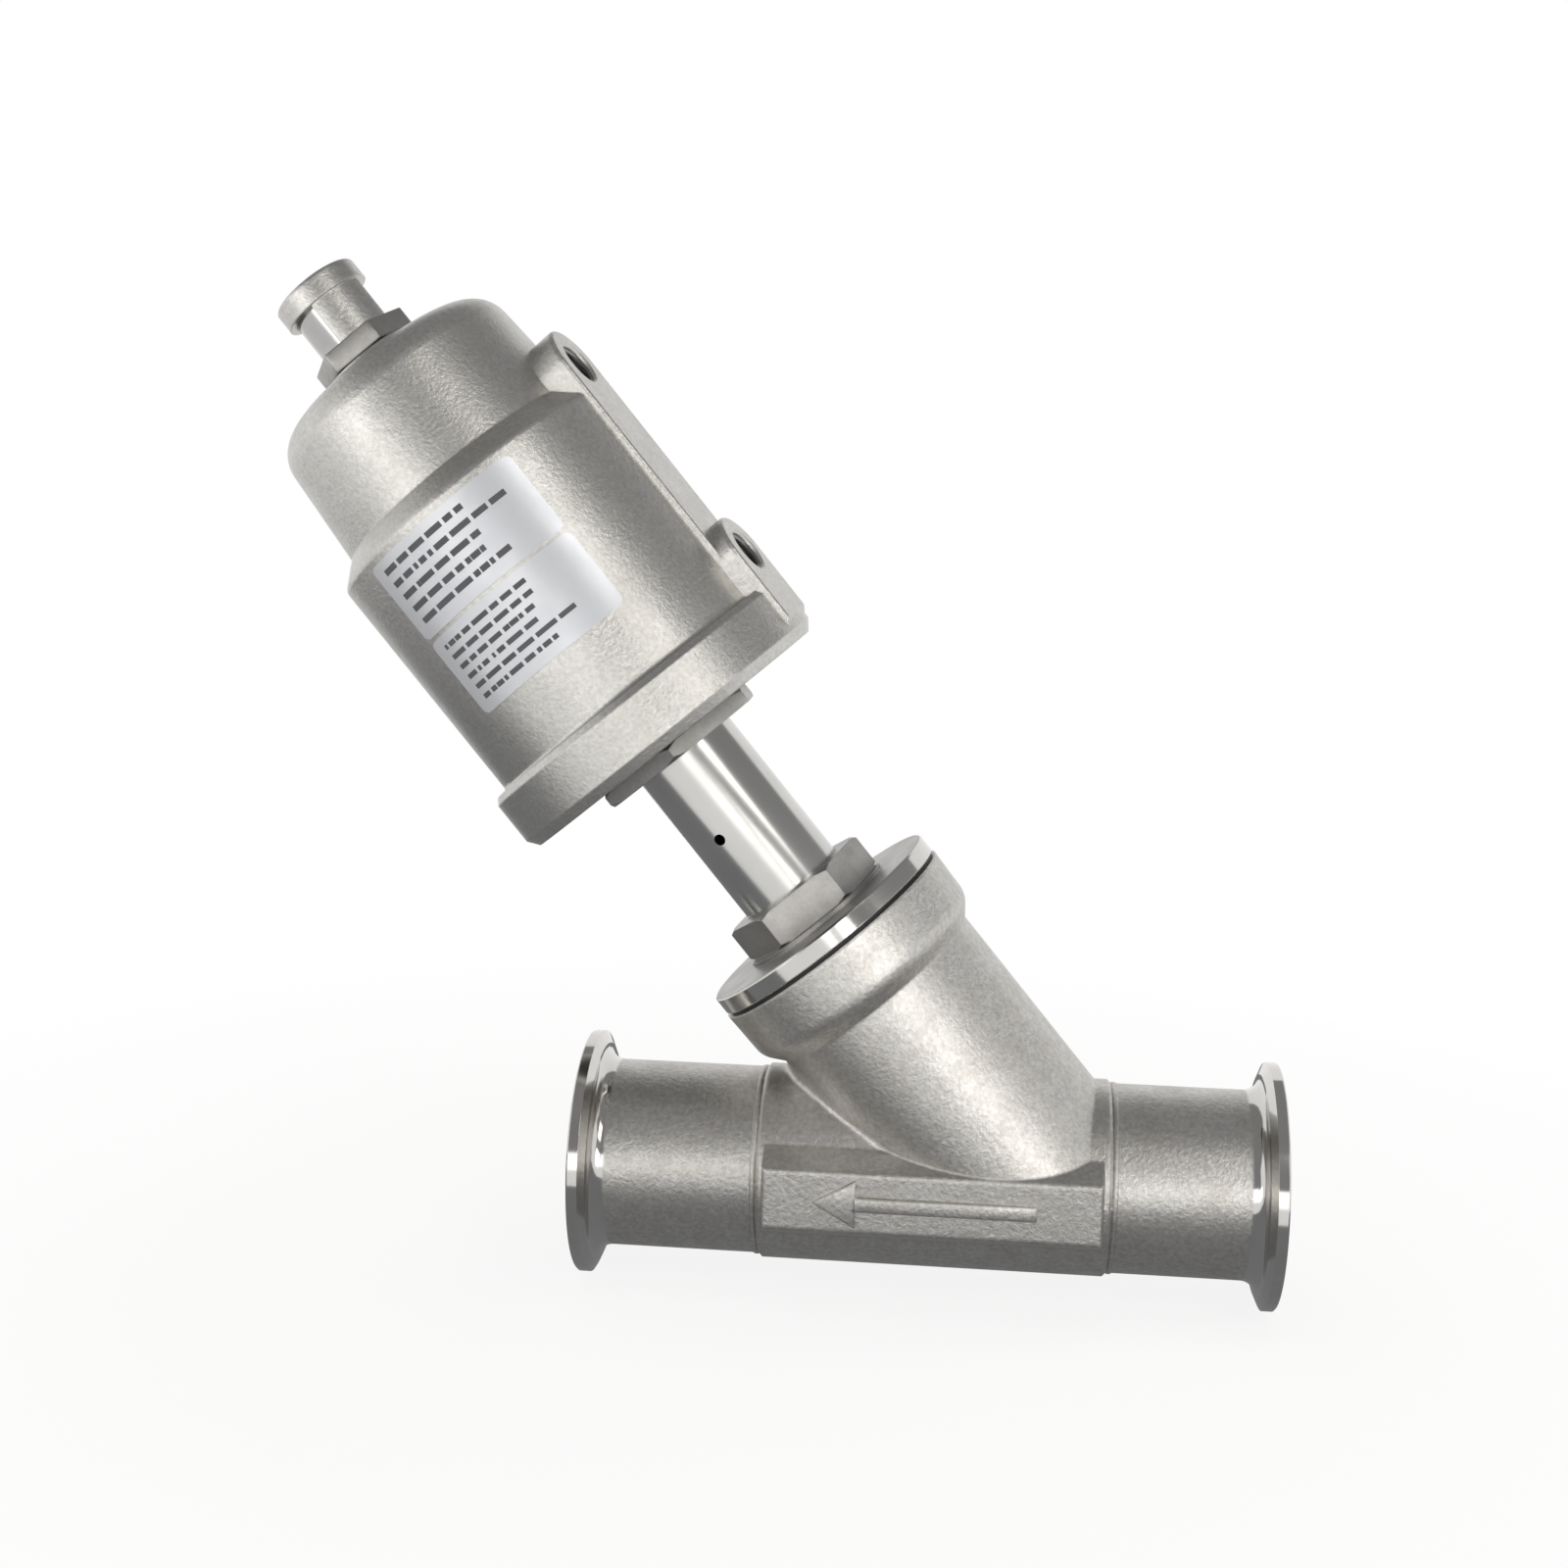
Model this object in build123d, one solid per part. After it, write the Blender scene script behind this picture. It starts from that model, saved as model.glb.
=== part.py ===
from build123d import *
import math
import os

# Angle seat valve with a piston actuator. Millimetres, +Z up, the pipe line runs along X.
# Stem-line parts are shaped upright about Z, with height counted from where the stem line
# meets the pipe line, and are then leaned over by the stem angle.

# ---- main sizes
STEM_ANGLE = 50.0          # between stem line and pipe line
INLET_REACH = 51.4         # pipe line: stem crossing to inlet face
OUTLET_REACH = 91.8        # pipe line: stem crossing to outlet face
FERRULE_R = 25.25          # clamp ferrule, 50.5 mm across
FERRULE_EDGE = 2.3         # width of the ferrule's cylindrical edge
FERRULE_CONE_R = 22.7      # radius where the ferrule's cone meets its root radius
FERRULE_CONE_RUN = 1.1     # length of the cone along the pipe
FERRULE_ROOT_END = 6.6     # distance from the face where the plain pipe starts
FERRULE_GROOVE_R = 21.4    # gasket bead, pitch radius
FERRULE_BEAD_R = 1.3       # gasket bead, section radius
PIPE_R = 19.4
PIPE_BORE_R = 17.4         # tube ends, as far as the belly
BELLY_BORE_R = 17.0        # cast passage between the tube ends
BELLY_BORE_LEFT = -54.1
BELLY_BORE_RIGHT = 28.0
RUN = 0.08                 # radial running clearance of sliding and turning fits
SEAT_GAP = 0.05            # radial gap between pieces fixed to each other
SEAL_GAP = 0.32            # radial gap between a seal and the wall it wipes

# ---- valve body
BARREL_R = 20.2
BARREL_LEFT = -54.1
BARREL_RIGHT = 17.4
BARREL_CHAMFER = 0.7
WAIST_DEPTH = 1.4          # hollow under the belly
WAIST_CENTRE = -15.0
WAIST_HALF = 16.0
PAD_FACE = 24.3            # name pads: distance of the flat from the pipe line
PAD_HALF_HEIGHT = 6.2
PAD_ROOT_Y = 16.0
PAD_ROOT_HALF = 10.2
PAD_LEFT = -52.4
PAD_RIGHT = 15.6
PAD_ROUND = 1.0
NECK_R = 23.8
NECK_FILLET = 1.5          # root of the neck on the outlet side
NECK_JOIN_MIN = 60.0       # only that join is longer than this
COLLAR_ROUND = 5.0         # soft lower shoulder of the collar
COLLAR_FOOT = 50.0         # neck starts to widen
COLLAR_BOTTOM = 53.8
COLLAR_TOP = 64.3
COLLAR_R = 26.9
COLLAR_DRAFT = 0.35        # extra radius at the collar's top
NECK_BORE_R = 19.5
THREAD_BORE_R = 21.2       # female thread, shown plain
THREAD_BORE_BOTTOM = 45.0
WEB_THICK = 4.0            # wall across the flow that carries the seat
WEB_BITE = 0.9             # how far that wall is let into the bore
ORIFICE_R = 14.5
LIP_R = 16.6
LIP_HEIGHT = 1.2

# ---- bonnet
GASKET_THICK = 0.7
GASKET_R = 26.3
DISC_R = 27.0
DISC_THICK = 3.9
STEP_R = 16.7
STEP_HEIGHT = 0.9
BONNET_HEX_R = 16.4        # corner radius
BONNET_HEX_HEIGHT = 7.6
BONNET_HEX_TURN = 7.0
SPIGOT_BOTTOM = 46.0
CHAMBER_R = 9.0            # packing chamber
CHAMBER_FLOOR = 52.0
TUBE_R = 11.4
TUBE_BORE_R = 9.6
TUBE_SOCKET = 3.0
WEEP_R = 1.2
WEEP_HEIGHT = 94.4
WEEP_TURN = -109.0
PACKING_WASHER_THICK = 1.5
PACKING_RING_THICK = 3.0
PACKING_RINGS = 3
FOLLOWER_THICK = 2.5
PACKING_SPRING_WIRE = 0.7
PACKING_SPRING_R = 7.3
PACKING_SPRING_TURNS = 4
BUSH_SPIGOT = 3.0

# ---- actuator base
BASE_HEX_R = 20.2
BASE_HEX_TURN = -25.2
BASE_HEX_BOTTOM = 112.6
HOUSING_BOTTOM = 116.0
RIM_BORE_R = 34.0
RIM_LEDGE = 124.0
CLIP_BOTTOM = 117.0
CLIP_THICK = 1.5
CLIP_GROOVE_R = 35.1
CLIP_INNER_R = 29.5
BASE_HUB_R = 11.5
BASE_HUB_TOP = 127.0
BASE_BORE_R = 7.0
BASE_SOCKET_TOP = 117.0
BASE_RING_HEIGHT = 121.3
BASE_RING_SECTION = 0.9
BUSH_FLANGE_R = 9.0
BUSH_FLANGE_THICK = 1.5
STEM_RING_SECTION = 0.55
STEM_RING_HEIGHT = 123.0   # ---- actuator housing
RIM_R = 36.8
RIM_TOP = 128.9
RIM_ROUND = 1.4
RIM_CHAMFER_R = 1.7
RIM_CHAMFER_H = 2.3
SHELL_R = 33.5
SHELL_TOP = 179.9
SHOULDER_TOP = 184.3
CAP_FOOT_R = 28.7
CAP_HEAD_R = 26.6
CAP_TOP = 211.2
CAP_ROUND = 7.0
CROWN_R = 12.0             # raised boss on top
CROWN_TOP = 213.7
CYLINDER_BORE_R = 30.4
CAP_BORE_R = 24.4
BORE_TOP = 177.0
CAP_BORE_TOP = 207.0
CROWN_BORE_R = 8.6
PORT_TURN = -7.5
PORT_R = 4.4
PORT_DEPTH = 5.6
PASSAGE_R = 1.5
LOWER_PORT = 136.4
UPPER_PORT = 186.0
RIB_HALF = 8.2
RIB_FACE = 33.8
BOSS_FACE = 37.1
BOSS_CUT_R = 4.0
BOSS_CUT_H = 5.0
RIB_ROUND = 0.8

# ---- labels
LABEL_R = 33.53
LABEL_THICK = 0.17
LABEL_CORNER = 1.6
UPPER_LABEL = (160.4, 177.9)
LOWER_LABEL = (142.3, 159.6)
LABEL_START = -128.0
LABEL_SWEEP = 65.0         # ---- moving stem
STEM_R = 5.0
STEM_END_R = 4.0
STEM_TIP = -7.4
PLUG_SHOULDER = 8.0
PLUG_SEAL_R = 17.6
PLUG_SEAL_THICK = 2.8
PLUG_R = 18.2
PLUG_HUB_R = 8.0
PLUG_HUB_TOP = 10.0
PLUG_WASHER_R = 13.4
PLUG_WASHER_THICK = 2.5
PLUG_NUT_R = 6.9
PLUG_NUT_HEIGHT = 5.0
STROKE = 12.0
PISTON_BOTTOM = 139.5
PISTON_FLOOR_THICK = 6.0
PISTON_R = 30.0
PISTON_TOP = 152.0
PISTON_CUP_R = 25.4
PISTON_SEAL_BOTTOM = 141.2
PISTON_SEAL_HEIGHT = 3.0
PISTON_SEAL_ROOT = 27.0
BAND_BOTTOM = 147.0
BAND_HEIGHT = 3.4
BAND_ROOT = 28.6
PISTON_WASHER_R = 9.0
PISTON_WASHER_THICK = 1.6
PISTON_NUT_R = 7.5
PISTON_NUT_HEIGHT = 6.5
STEM_TOP = 155.0
ROD_R = 2.6
ROD_FOOT_R = 4.0
ROD_FOOT_HEIGHT = 4.0
SLEEVE_R = 7.7
SLEEVE_BORE_R = 6.2
SLEEVE_BOTTOM = 208.0
SLEEVE_TOP = 232.0
SLEEVE_CROWN = 2.4
SLEEVE_ROUND = 1.2

# ---- springs
OUTER_SPRING_R = 20.4
OUTER_SPRING_WIRE = 2.0
OUTER_SPRING_TURNS = 5
INNER_SPRING_R = 13.4
INNER_SPRING_WIRE = 1.3
INNER_SPRING_TURNS = 7

# ---- indicator cover
COVER_NUT_R = 9.4
COVER_NUT_HEIGHT = 3.4
COVER_NUT_TURN = -57.0
COVER_WALL_R = 9.0
COVER_HEAD_R = 9.4
COVER_HEAD_BOTTOM = 228.0
COVER_HEAD_TOP = 232.6
COVER_HEAD_ROUND = 0.8
WINDOW_START = -18.0       # each window starts here and opposite
WINDOW_SWEEP = 102.0
COVER_RING_THICK = 0.5
COVER_SPIGOT = 5.0

# ---- heights that follow
SEAL_BOTTOM = LIP_HEIGHT
SEAL_TOP = SEAL_BOTTOM + PLUG_SEAL_THICK
DISC_BOTTOM = COLLAR_TOP + GASKET_THICK
DISC_TOP = DISC_BOTTOM + DISC_THICK
HEX_BOTTOM = DISC_TOP + STEP_HEIGHT
HEX_TOP = HEX_BOTTOM + BONNET_HEX_HEIGHT
SOCKET_FLOOR = HEX_TOP - TUBE_SOCKET
PACKING_BOTTOM = CHAMBER_FLOOR + PACKING_WASHER_THICK
PACKING_TOP = PACKING_BOTTOM + PACKING_RINGS * PACKING_RING_THICK
FOLLOWER_TOP = PACKING_TOP + FOLLOWER_THICK
BUSH_BOTTOM = SOCKET_FLOOR - BUSH_SPIGOT
PISTON_FLOOR = PISTON_BOTTOM + PISTON_FLOOR_THICK
COVER_NUT_BOTTOM = CROWN_TOP + COVER_RING_THICK
COVER_NUT_TOP = COVER_NUT_BOTTOM + COVER_NUT_HEIGHT
CLIP_TOP = CLIP_BOTTOM + CLIP_THICK

LEAN = Rot(0, STEM_ANGLE - 90.0, 0)
TO_FRAME = Pos(-INLET_REACH, 0, 0)


def turned(points):
    """Solid turned about the stem line from a closed outline of (radius, height)."""
    return revolve(Plane.XZ * make_face(Polyline(*points, close=True)), Axis.Z)


def rod(radius, bottom, top):
    """Round bar on the stem line."""
    return Pos(0, 0, bottom) * Cylinder(radius, top - bottom, align=(Align.CENTER, Align.CENTER, Align.MIN))


def ring(inner, outer, bottom, top):
    """Plain ring on the stem line."""
    return rod(outer, bottom, top) - rod(inner, bottom - 1, top + 1)


def hexagon(corner_radius, bottom, top, turn=0.0):
    """Hexagonal prism on the stem line with its corners broken."""
    prism = Pos(0, 0, bottom) * extrude(RegularPolygon(corner_radius, 6, rotation=turn), top - bottom)
    flat = corner_radius * math.cos(math.pi / 6)
    rise = (corner_radius - flat) * 0.5
    blank = turned([
        (0, bottom),
        (corner_radius - rise, bottom),
        (corner_radius + 0.01, bottom + rise * 0.6),
        (corner_radius + 0.01, top - rise * 0.6),
        (corner_radius - rise, top),
        (0, top),
    ])
    return prism & blank


def pipe_rod(radius, left, right):
    """Round bar on the pipe line."""
    return Pos(left, 0, 0) * Rot(0, 90, 0) * Cylinder(radius, right - left, align=(Align.CENTER, Align.CENTER, Align.MIN))


def coil(radius, wire, bottom, top, turns):
    """Round-wire spring standing between two flat faces."""
    height = top - bottom - 2 * wire - 0.04
    path = Helix(pitch=height / turns, height=height, radius=radius)
    start = Plane(origin=path @ 0, z_dir=path % 0)
    wire_solid = sweep(start * Circle(wire), path=path, is_frenet=True)
    return Pos(0, 0, bottom + wire + 0.02) * wire_solid


def circles_at(shape, height, low_r, high_r):
    """Round edges of a turned piece at one height and between two radii."""
    found = shape.edges().filter_by(GeomType.CIRCLE)
    return [e for e in found if abs(e.center().Z - height) < 0.02 and low_r < e.radius < high_r]


# ---- valve body

def ferrule(face, side):
    """Clamp ferrule with a sloped back and a root radius running out to the pipe."""
    cone_end = FERRULE_EDGE + FERRULE_CONE_RUN
    edge = Polyline(
        (FERRULE_ROOT_END, PIPE_R),
        (FERRULE_ROOT_END, 0),
        (0, 0),
        (0, FERRULE_R - 0.3),
        (0.3, FERRULE_R),
        (FERRULE_EDGE, FERRULE_R),
        (cone_end, FERRULE_CONE_R),
    )
    root = TangentArc((FERRULE_ROOT_END, PIPE_R), (cone_end, FERRULE_CONE_R), tangent=(-1, 0))
    blank = revolve(Plane.XZ * make_face(edge.edges() + root.edges()), Axis.X)
    bead = Rot(0, 90, 0) * Torus(FERRULE_GROOVE_R, FERRULE_BEAD_R)
    piece = blank - bead
    if side > 0:
        piece = mirror(piece, Plane.YZ)
    return Pos(face, 0, 0) * piece


def barrel():
    """Cast belly on the pipe line, hollowed a little underneath."""
    core = pipe_rod(BARREL_R, BARREL_LEFT, BARREL_RIGHT)
    core = chamfer(core.edges().filter_by(GeomType.CIRCLE), BARREL_CHAMFER)
    return core


def leaning_neck():
    """Neck cylinder leaning on the belly, cut off at the pipe's mid-height."""
    upright = turned([
        (0, -32),
        (NECK_R, -32),
        (NECK_R, COLLAR_FOOT),
        (COLLAR_R, COLLAR_BOTTOM),
        (COLLAR_R + COLLAR_DRAFT, COLLAR_TOP),
        (0, COLLAR_TOP),
    ])
    upright = fillet(circles_at(upright, COLLAR_BOTTOM, NECK_R + 1, COLLAR_R + 1), COLLAR_ROUND)
    upper_half = Pos(0, 0, 60) * Box(240, 120, 120)
    return (LEAN * upright) & upper_half


def name_pads():
    """Flat pads on both flanks of the belly, drafted above and below."""
    section = Polyline(
        (PAD_FACE, PAD_HALF_HEIGHT),
        (PAD_ROOT_Y, PAD_ROOT_HALF),
        (-PAD_ROOT_Y, PAD_ROOT_HALF),
        (-PAD_FACE, PAD_HALF_HEIGHT),
        (-PAD_FACE, -PAD_HALF_HEIGHT),
        (-PAD_ROOT_Y, -PAD_ROOT_HALF),
        (PAD_ROOT_Y, -PAD_ROOT_HALF),
        (PAD_FACE, -PAD_HALF_HEIGHT),
        close=True,
    )
    block = extrude(Plane.YZ * make_face(section), PAD_RIGHT - PAD_LEFT)
    block = Pos(PAD_LEFT, 0, 0) * block
    outer = [e for e in block.edges() if abs(abs(e.center().Y) - PAD_FACE) < 0.01]
    return fillet(outer, PAD_ROUND)


def seat_wall():
    """Wall across the flow, square to the stem line, with the seat opening and its lip."""
    plate = LEAN * rod(48, -WEB_THICK, 0)
    plate = plate & pipe_rod(BELLY_BORE_R + WEB_BITE, BELLY_BORE_LEFT, BELLY_BORE_RIGHT)
    lip = turned([
        (ORIFICE_R - 1, -1),
        (LIP_R, -1),
        (LIP_R, LIP_HEIGHT - 0.4),
        (LIP_R - 0.4, LIP_HEIGHT),
        (ORIFICE_R - 1, LIP_HEIGHT),
    ])
    return plate + LEAN * lip - LEAN * rod(ORIFICE_R, -10, 10)


def valve_body():
    """Cast body: two ferruled pipe ends, belly, pads, leaning neck with collar, seat wall."""
    shell = barrel() + leaning_neck()
    joins = [e for e in shell.edges() if e.geom_type == GeomType.BSPLINE and e.length > NECK_JOIN_MIN]
    shell = fillet(joins, NECK_FILLET)
    shell = shell + name_pads()
    waist_r = (WAIST_HALF ** 2 + WAIST_DEPTH ** 2) / (2 * WAIST_DEPTH)
    waist = Rot(90, 0, 0) * Cylinder(waist_r, 60)
    shell = shell - Pos(WAIST_CENTRE, 0, -BARREL_R - waist_r + WAIST_DEPTH) * waist
    shell = shell + pipe_rod(PIPE_R, -OUTLET_REACH + 4, INLET_REACH - 4)
    shell = shell + ferrule(-OUTLET_REACH, -1) + ferrule(INLET_REACH, 1)
    shell = shell - pipe_rod(BELLY_BORE_R, BELLY_BORE_LEFT - 1, BELLY_BORE_RIGHT + 1)
    shell = shell - pipe_rod(PIPE_BORE_R, -OUTLET_REACH - 1, BELLY_BORE_LEFT)
    shell = shell - pipe_rod(PIPE_BORE_R, BELLY_BORE_RIGHT, INLET_REACH + 1)
    shell = shell - LEAN * rod(NECK_BORE_R, 0, COLLAR_TOP + 1)
    shell = shell - LEAN * rod(THREAD_BORE_R, THREAD_BORE_BOTTOM, COLLAR_TOP + 1)
    return shell + seat_wall()


def body_gasket():
    """Flat gasket between collar and bonnet."""
    return LEAN * ring(THREAD_BORE_R + 0.2, GASKET_R, COLLAR_TOP, DISC_BOTTOM)


# ---- bonnet and packing

def bonnet():
    """Screw-in bonnet: spigot, polished disc, step, hexagon, tube socket, packing chamber."""
    spigot_r = THREAD_BORE_R - SEAT_GAP
    blank = turned([
        (0, SPIGOT_BOTTOM),
        (spigot_r - 1.2, SPIGOT_BOTTOM),
        (spigot_r, SPIGOT_BOTTOM + 1.2),
        (spigot_r, DISC_BOTTOM),
        (DISC_R - 0.3, DISC_BOTTOM),
        (DISC_R, DISC_BOTTOM + 0.3),
        (DISC_R, DISC_TOP - 0.4),
        (DISC_R - 0.4, DISC_TOP),
        (STEP_R, DISC_TOP),
        (STEP_R, HEX_BOTTOM),
        (0, HEX_BOTTOM),
    ])
    blank = blank + hexagon(BONNET_HEX_R, HEX_BOTTOM, HEX_TOP, BONNET_HEX_TURN)
    blank = blank - rod(STEM_R + RUN, SPIGOT_BOTTOM - 1, HEX_TOP + 1)
    blank = blank - rod(CHAMBER_R, CHAMBER_FLOOR, HEX_TOP + 1)
    blank = blank - rod(TUBE_R + SEAT_GAP, SOCKET_FLOOR, HEX_TOP + 1)
    relief = turned([
        (STEM_R + 3, SPIGOT_BOTTOM - 1),
        (spigot_r - 3, SPIGOT_BOTTOM - 1),
        (spigot_r - 3, SPIGOT_BOTTOM + 8),
        (CHAMBER_R + 3.5, SPIGOT_BOTTOM + 10),
        (STEM_R + 5, SPIGOT_BOTTOM + 2),
        (STEM_R + 3, SPIGOT_BOTTOM + 2),
    ])
    return LEAN * (blank - relief)


def neck_tube():
    """Polished tube between bonnet and actuator, with a weep hole."""
    tube = ring(TUBE_BORE_R, TUBE_R, SOCKET_FLOOR, BASE_SOCKET_TOP)
    drill = Rot(0, 0, WEEP_TURN) * Pos(TUBE_R, 0, WEEP_HEIGHT) * Rot(0, 90, 0) * Cylinder(WEEP_R, 12)
    return LEAN * (tube - drill)


def packing_washer():
    """Flat washer on the floor of the packing chamber."""
    return LEAN * ring(STEM_R + SEAL_GAP, CHAMBER_R - SEAT_GAP, CHAMBER_FLOOR, PACKING_BOTTOM)


def packing_ring(index):
    """One roof-shaped packing ring of the stack."""
    low = PACKING_BOTTOM + index * PACKING_RING_THICK
    inner = STEM_R + SEAL_GAP
    outer = CHAMBER_R - SEAT_GAP
    middle = (inner + outer) / 2
    peak = 0.7
    top = low + PACKING_RING_THICK
    last = index == PACKING_RINGS - 1
    bottom_peak = 0 if index == 0 else peak
    top_peak = 0 if last else peak
    return LEAN * turned([
        (inner, low),
        (middle, low + bottom_peak),
        (outer, low),
        (outer, top),
        (middle, top + top_peak),
        (inner, top),
    ])


def gland_follower():
    """Ring that the packing spring presses on the stack."""
    return LEAN * ring(STEM_R + SEAL_GAP, CHAMBER_R - SEAT_GAP, PACKING_TOP, FOLLOWER_TOP)


def packing_spring():
    """Small spring that keeps the packing loaded."""
    spring = coil(PACKING_SPRING_R, PACKING_SPRING_WIRE, FOLLOWER_TOP, BUSH_BOTTOM, PACKING_SPRING_TURNS)
    return LEAN * spring


def guide_bush():
    """Flanged bush that guides the stem in the bonnet."""
    bush = turned([
        (STEM_R + RUN, BUSH_BOTTOM),
        (CHAMBER_R - SEAT_GAP, BUSH_BOTTOM),
        (CHAMBER_R - SEAT_GAP, SOCKET_FLOOR),
        (TUBE_BORE_R - SEAT_GAP, SOCKET_FLOOR),
        (TUBE_BORE_R - SEAT_GAP, HEX_TOP),
        (STEM_R + RUN, HEX_TOP),
    ])
    return LEAN * bush


# ---- actuator base

def base_plate():
    """Plate that closes the actuator, with its hexagon below and a hub for the stem bush."""
    disc_r = RIM_BORE_R - RUN
    groove_half = BASE_RING_SECTION + 0.15
    groove_root = disc_r - 2 * BASE_RING_SECTION - 0.3
    blank = turned([
        (0, HOUSING_BOTTOM - 1),
        (BASE_HUB_R + 5, HOUSING_BOTTOM - 1),
        (BASE_HUB_R + 5, CLIP_TOP),
        (disc_r - 0.5, CLIP_TOP),
        (disc_r, CLIP_TOP + 0.5),
        (disc_r, BASE_RING_HEIGHT - groove_half),
        (groove_root, BASE_RING_HEIGHT - groove_half),
        (groove_root, BASE_RING_HEIGHT + groove_half),
        (disc_r, BASE_RING_HEIGHT + groove_half),
        (disc_r, RIM_LEDGE),
        (BASE_HUB_R, RIM_LEDGE),
        (BASE_HUB_R, BASE_HUB_TOP),
        (0, BASE_HUB_TOP),
    ])
    blank = blank + hexagon(BASE_HEX_R, BASE_HEX_BOTTOM, HOUSING_BOTTOM, BASE_HEX_TURN)
    blank = blank - rod(TUBE_R + SEAT_GAP, BASE_HEX_BOTTOM - 1, BASE_SOCKET_TOP)
    return LEAN * (blank - rod(BASE_BORE_R, BASE_SOCKET_TOP - 1, BASE_HUB_TOP + 1))


def base_o_ring():
    """Seal between base plate and housing."""
    centre_r = RIM_BORE_R - SEAL_GAP - BASE_RING_SECTION
    return LEAN * Pos(0, 0, BASE_RING_HEIGHT) * Torus(centre_r, BASE_RING_SECTION)


def base_bush():
    """Flanged stem bush pressed into the base plate, grooved for its seal."""
    groove = ring(STEM_R, STEM_R + SEAL_GAP + 2 * STEM_RING_SECTION + SEAT_GAP,
                  STEM_RING_HEIGHT - 0.7, STEM_RING_HEIGHT + 0.7)
    bush = turned([
        (STEM_R + RUN, BASE_SOCKET_TOP + 2),
        (BASE_BORE_R - SEAT_GAP, BASE_SOCKET_TOP + 2),
        (BASE_BORE_R - SEAT_GAP, BASE_HUB_TOP),
        (BUSH_FLANGE_R, BASE_HUB_TOP),
        (BUSH_FLANGE_R, BASE_HUB_TOP + BUSH_FLANGE_THICK),
        (STEM_R + RUN, BASE_HUB_TOP + BUSH_FLANGE_THICK),
    ])
    return LEAN * (bush - groove)


def stem_o_ring():
    """Seal between the base bush and the stem."""
    centre_r = STEM_R + SEAL_GAP + STEM_RING_SECTION
    return LEAN * Pos(0, 0, STEM_RING_HEIGHT) * Torus(centre_r, STEM_RING_SECTION)


# ---- actuator housing

def housing_outside():
    """Bell-shaped outside: rim, cylinder, sloped shoulder, drafted cap and crown."""
    bell = turned([
        (0, HOUSING_BOTTOM),
        (RIM_R - RIM_CHAMFER_R, HOUSING_BOTTOM),
        (RIM_R, HOUSING_BOTTOM + RIM_CHAMFER_H),
        (RIM_R, RIM_TOP - RIM_ROUND),
        (RIM_R - RIM_ROUND * 0.7, RIM_TOP),
        (SHELL_R, RIM_TOP),
        (SHELL_R, SHELL_TOP),
        (CAP_FOOT_R, SHOULDER_TOP),
        (CAP_HEAD_R, CAP_TOP),
        (0, CAP_TOP),
    ])
    bell = fillet(circles_at(bell, CAP_TOP, 20, 40), CAP_ROUND)
    bell = fillet(circles_at(bell, SHELL_TOP, 33, 34), 1.5)
    bell = fillet(circles_at(bell, RIM_TOP, 33, 34), 0.8)
    crown = turned([
        (0, CAP_TOP - 1),
        (CROWN_R + 0.8, CAP_TOP - 1),
        (CROWN_R + 0.8, CAP_TOP),
        (CROWN_R, CROWN_TOP),
        (0, CROWN_TOP),
    ])
    return bell + crown


def port_rib():
    """Rib carrying both air ports, with a thicker boss round the lower one."""
    foot = RIM_TOP - 4
    strip = Plane.YZ * Pos(0, (foot + UPPER_PORT) / 2) * Rectangle(2 * RIB_HALF, UPPER_PORT - foot)
    tall = extrude(strip, RIB_FACE)
    tall = tall + Pos(0, 0, UPPER_PORT) * Rot(0, 90, 0) * Cylinder(RIB_HALF, RIB_FACE, align=(Align.CENTER, Align.CENTER, Align.MIN))
    tall = fillet([e for e in tall.edges() if abs(e.center().X - RIB_FACE) < 0.01], RIB_ROUND)
    side = make_face(Polyline(
        (0, HOUSING_BOTTOM),
        (BOSS_FACE - BOSS_CUT_R, HOUSING_BOTTOM),
        (BOSS_FACE, HOUSING_BOTTOM + BOSS_CUT_H),
        (BOSS_FACE, LOWER_PORT),
        (0, LOWER_PORT),
        close=True,
    ))
    boss = Pos(0, RIB_HALF, 0) * extrude(Plane.XZ * side, 2 * RIB_HALF)
    boss = boss + Pos(0, 0, LOWER_PORT) * Rot(0, 90, 0) * Cylinder(RIB_HALF, BOSS_FACE, align=(Align.CENTER, Align.CENTER, Align.MIN))
    face_edges = [e for e in boss.edges() if abs(e.center().X - BOSS_FACE) < 0.01 and e.center().Z > HOUSING_BOTTOM + BOSS_CUT_H + 0.5]
    boss = fillet(face_edges, RIB_ROUND)
    return tall + boss


def port_holes():
    """Threaded air ports, shown plain, with their small passages into the cylinder."""
    holes = []
    for height, face in ((LOWER_PORT, BOSS_FACE), (UPPER_PORT, RIB_FACE)):
        mouth = Pos(face, 0, height) * Rot(0, -90, 0) * Cylinder(PORT_R, PORT_DEPTH, align=(Align.CENTER, Align.CENTER, Align.MIN))
        lead = Pos(face + 0.01, 0, height) * Rot(0, -90, 0) * Cone(PORT_R + 0.5, PORT_R, 0.5, align=(Align.CENTER, Align.CENTER, Align.MIN))
        small = Pos(15, 0, height) * Rot(0, 90, 0) * Cylinder(PASSAGE_R, face - 16, align=(Align.CENTER, Align.CENTER, Align.MIN))
        holes = holes + [mouth, lead, small]
    return holes


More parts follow.
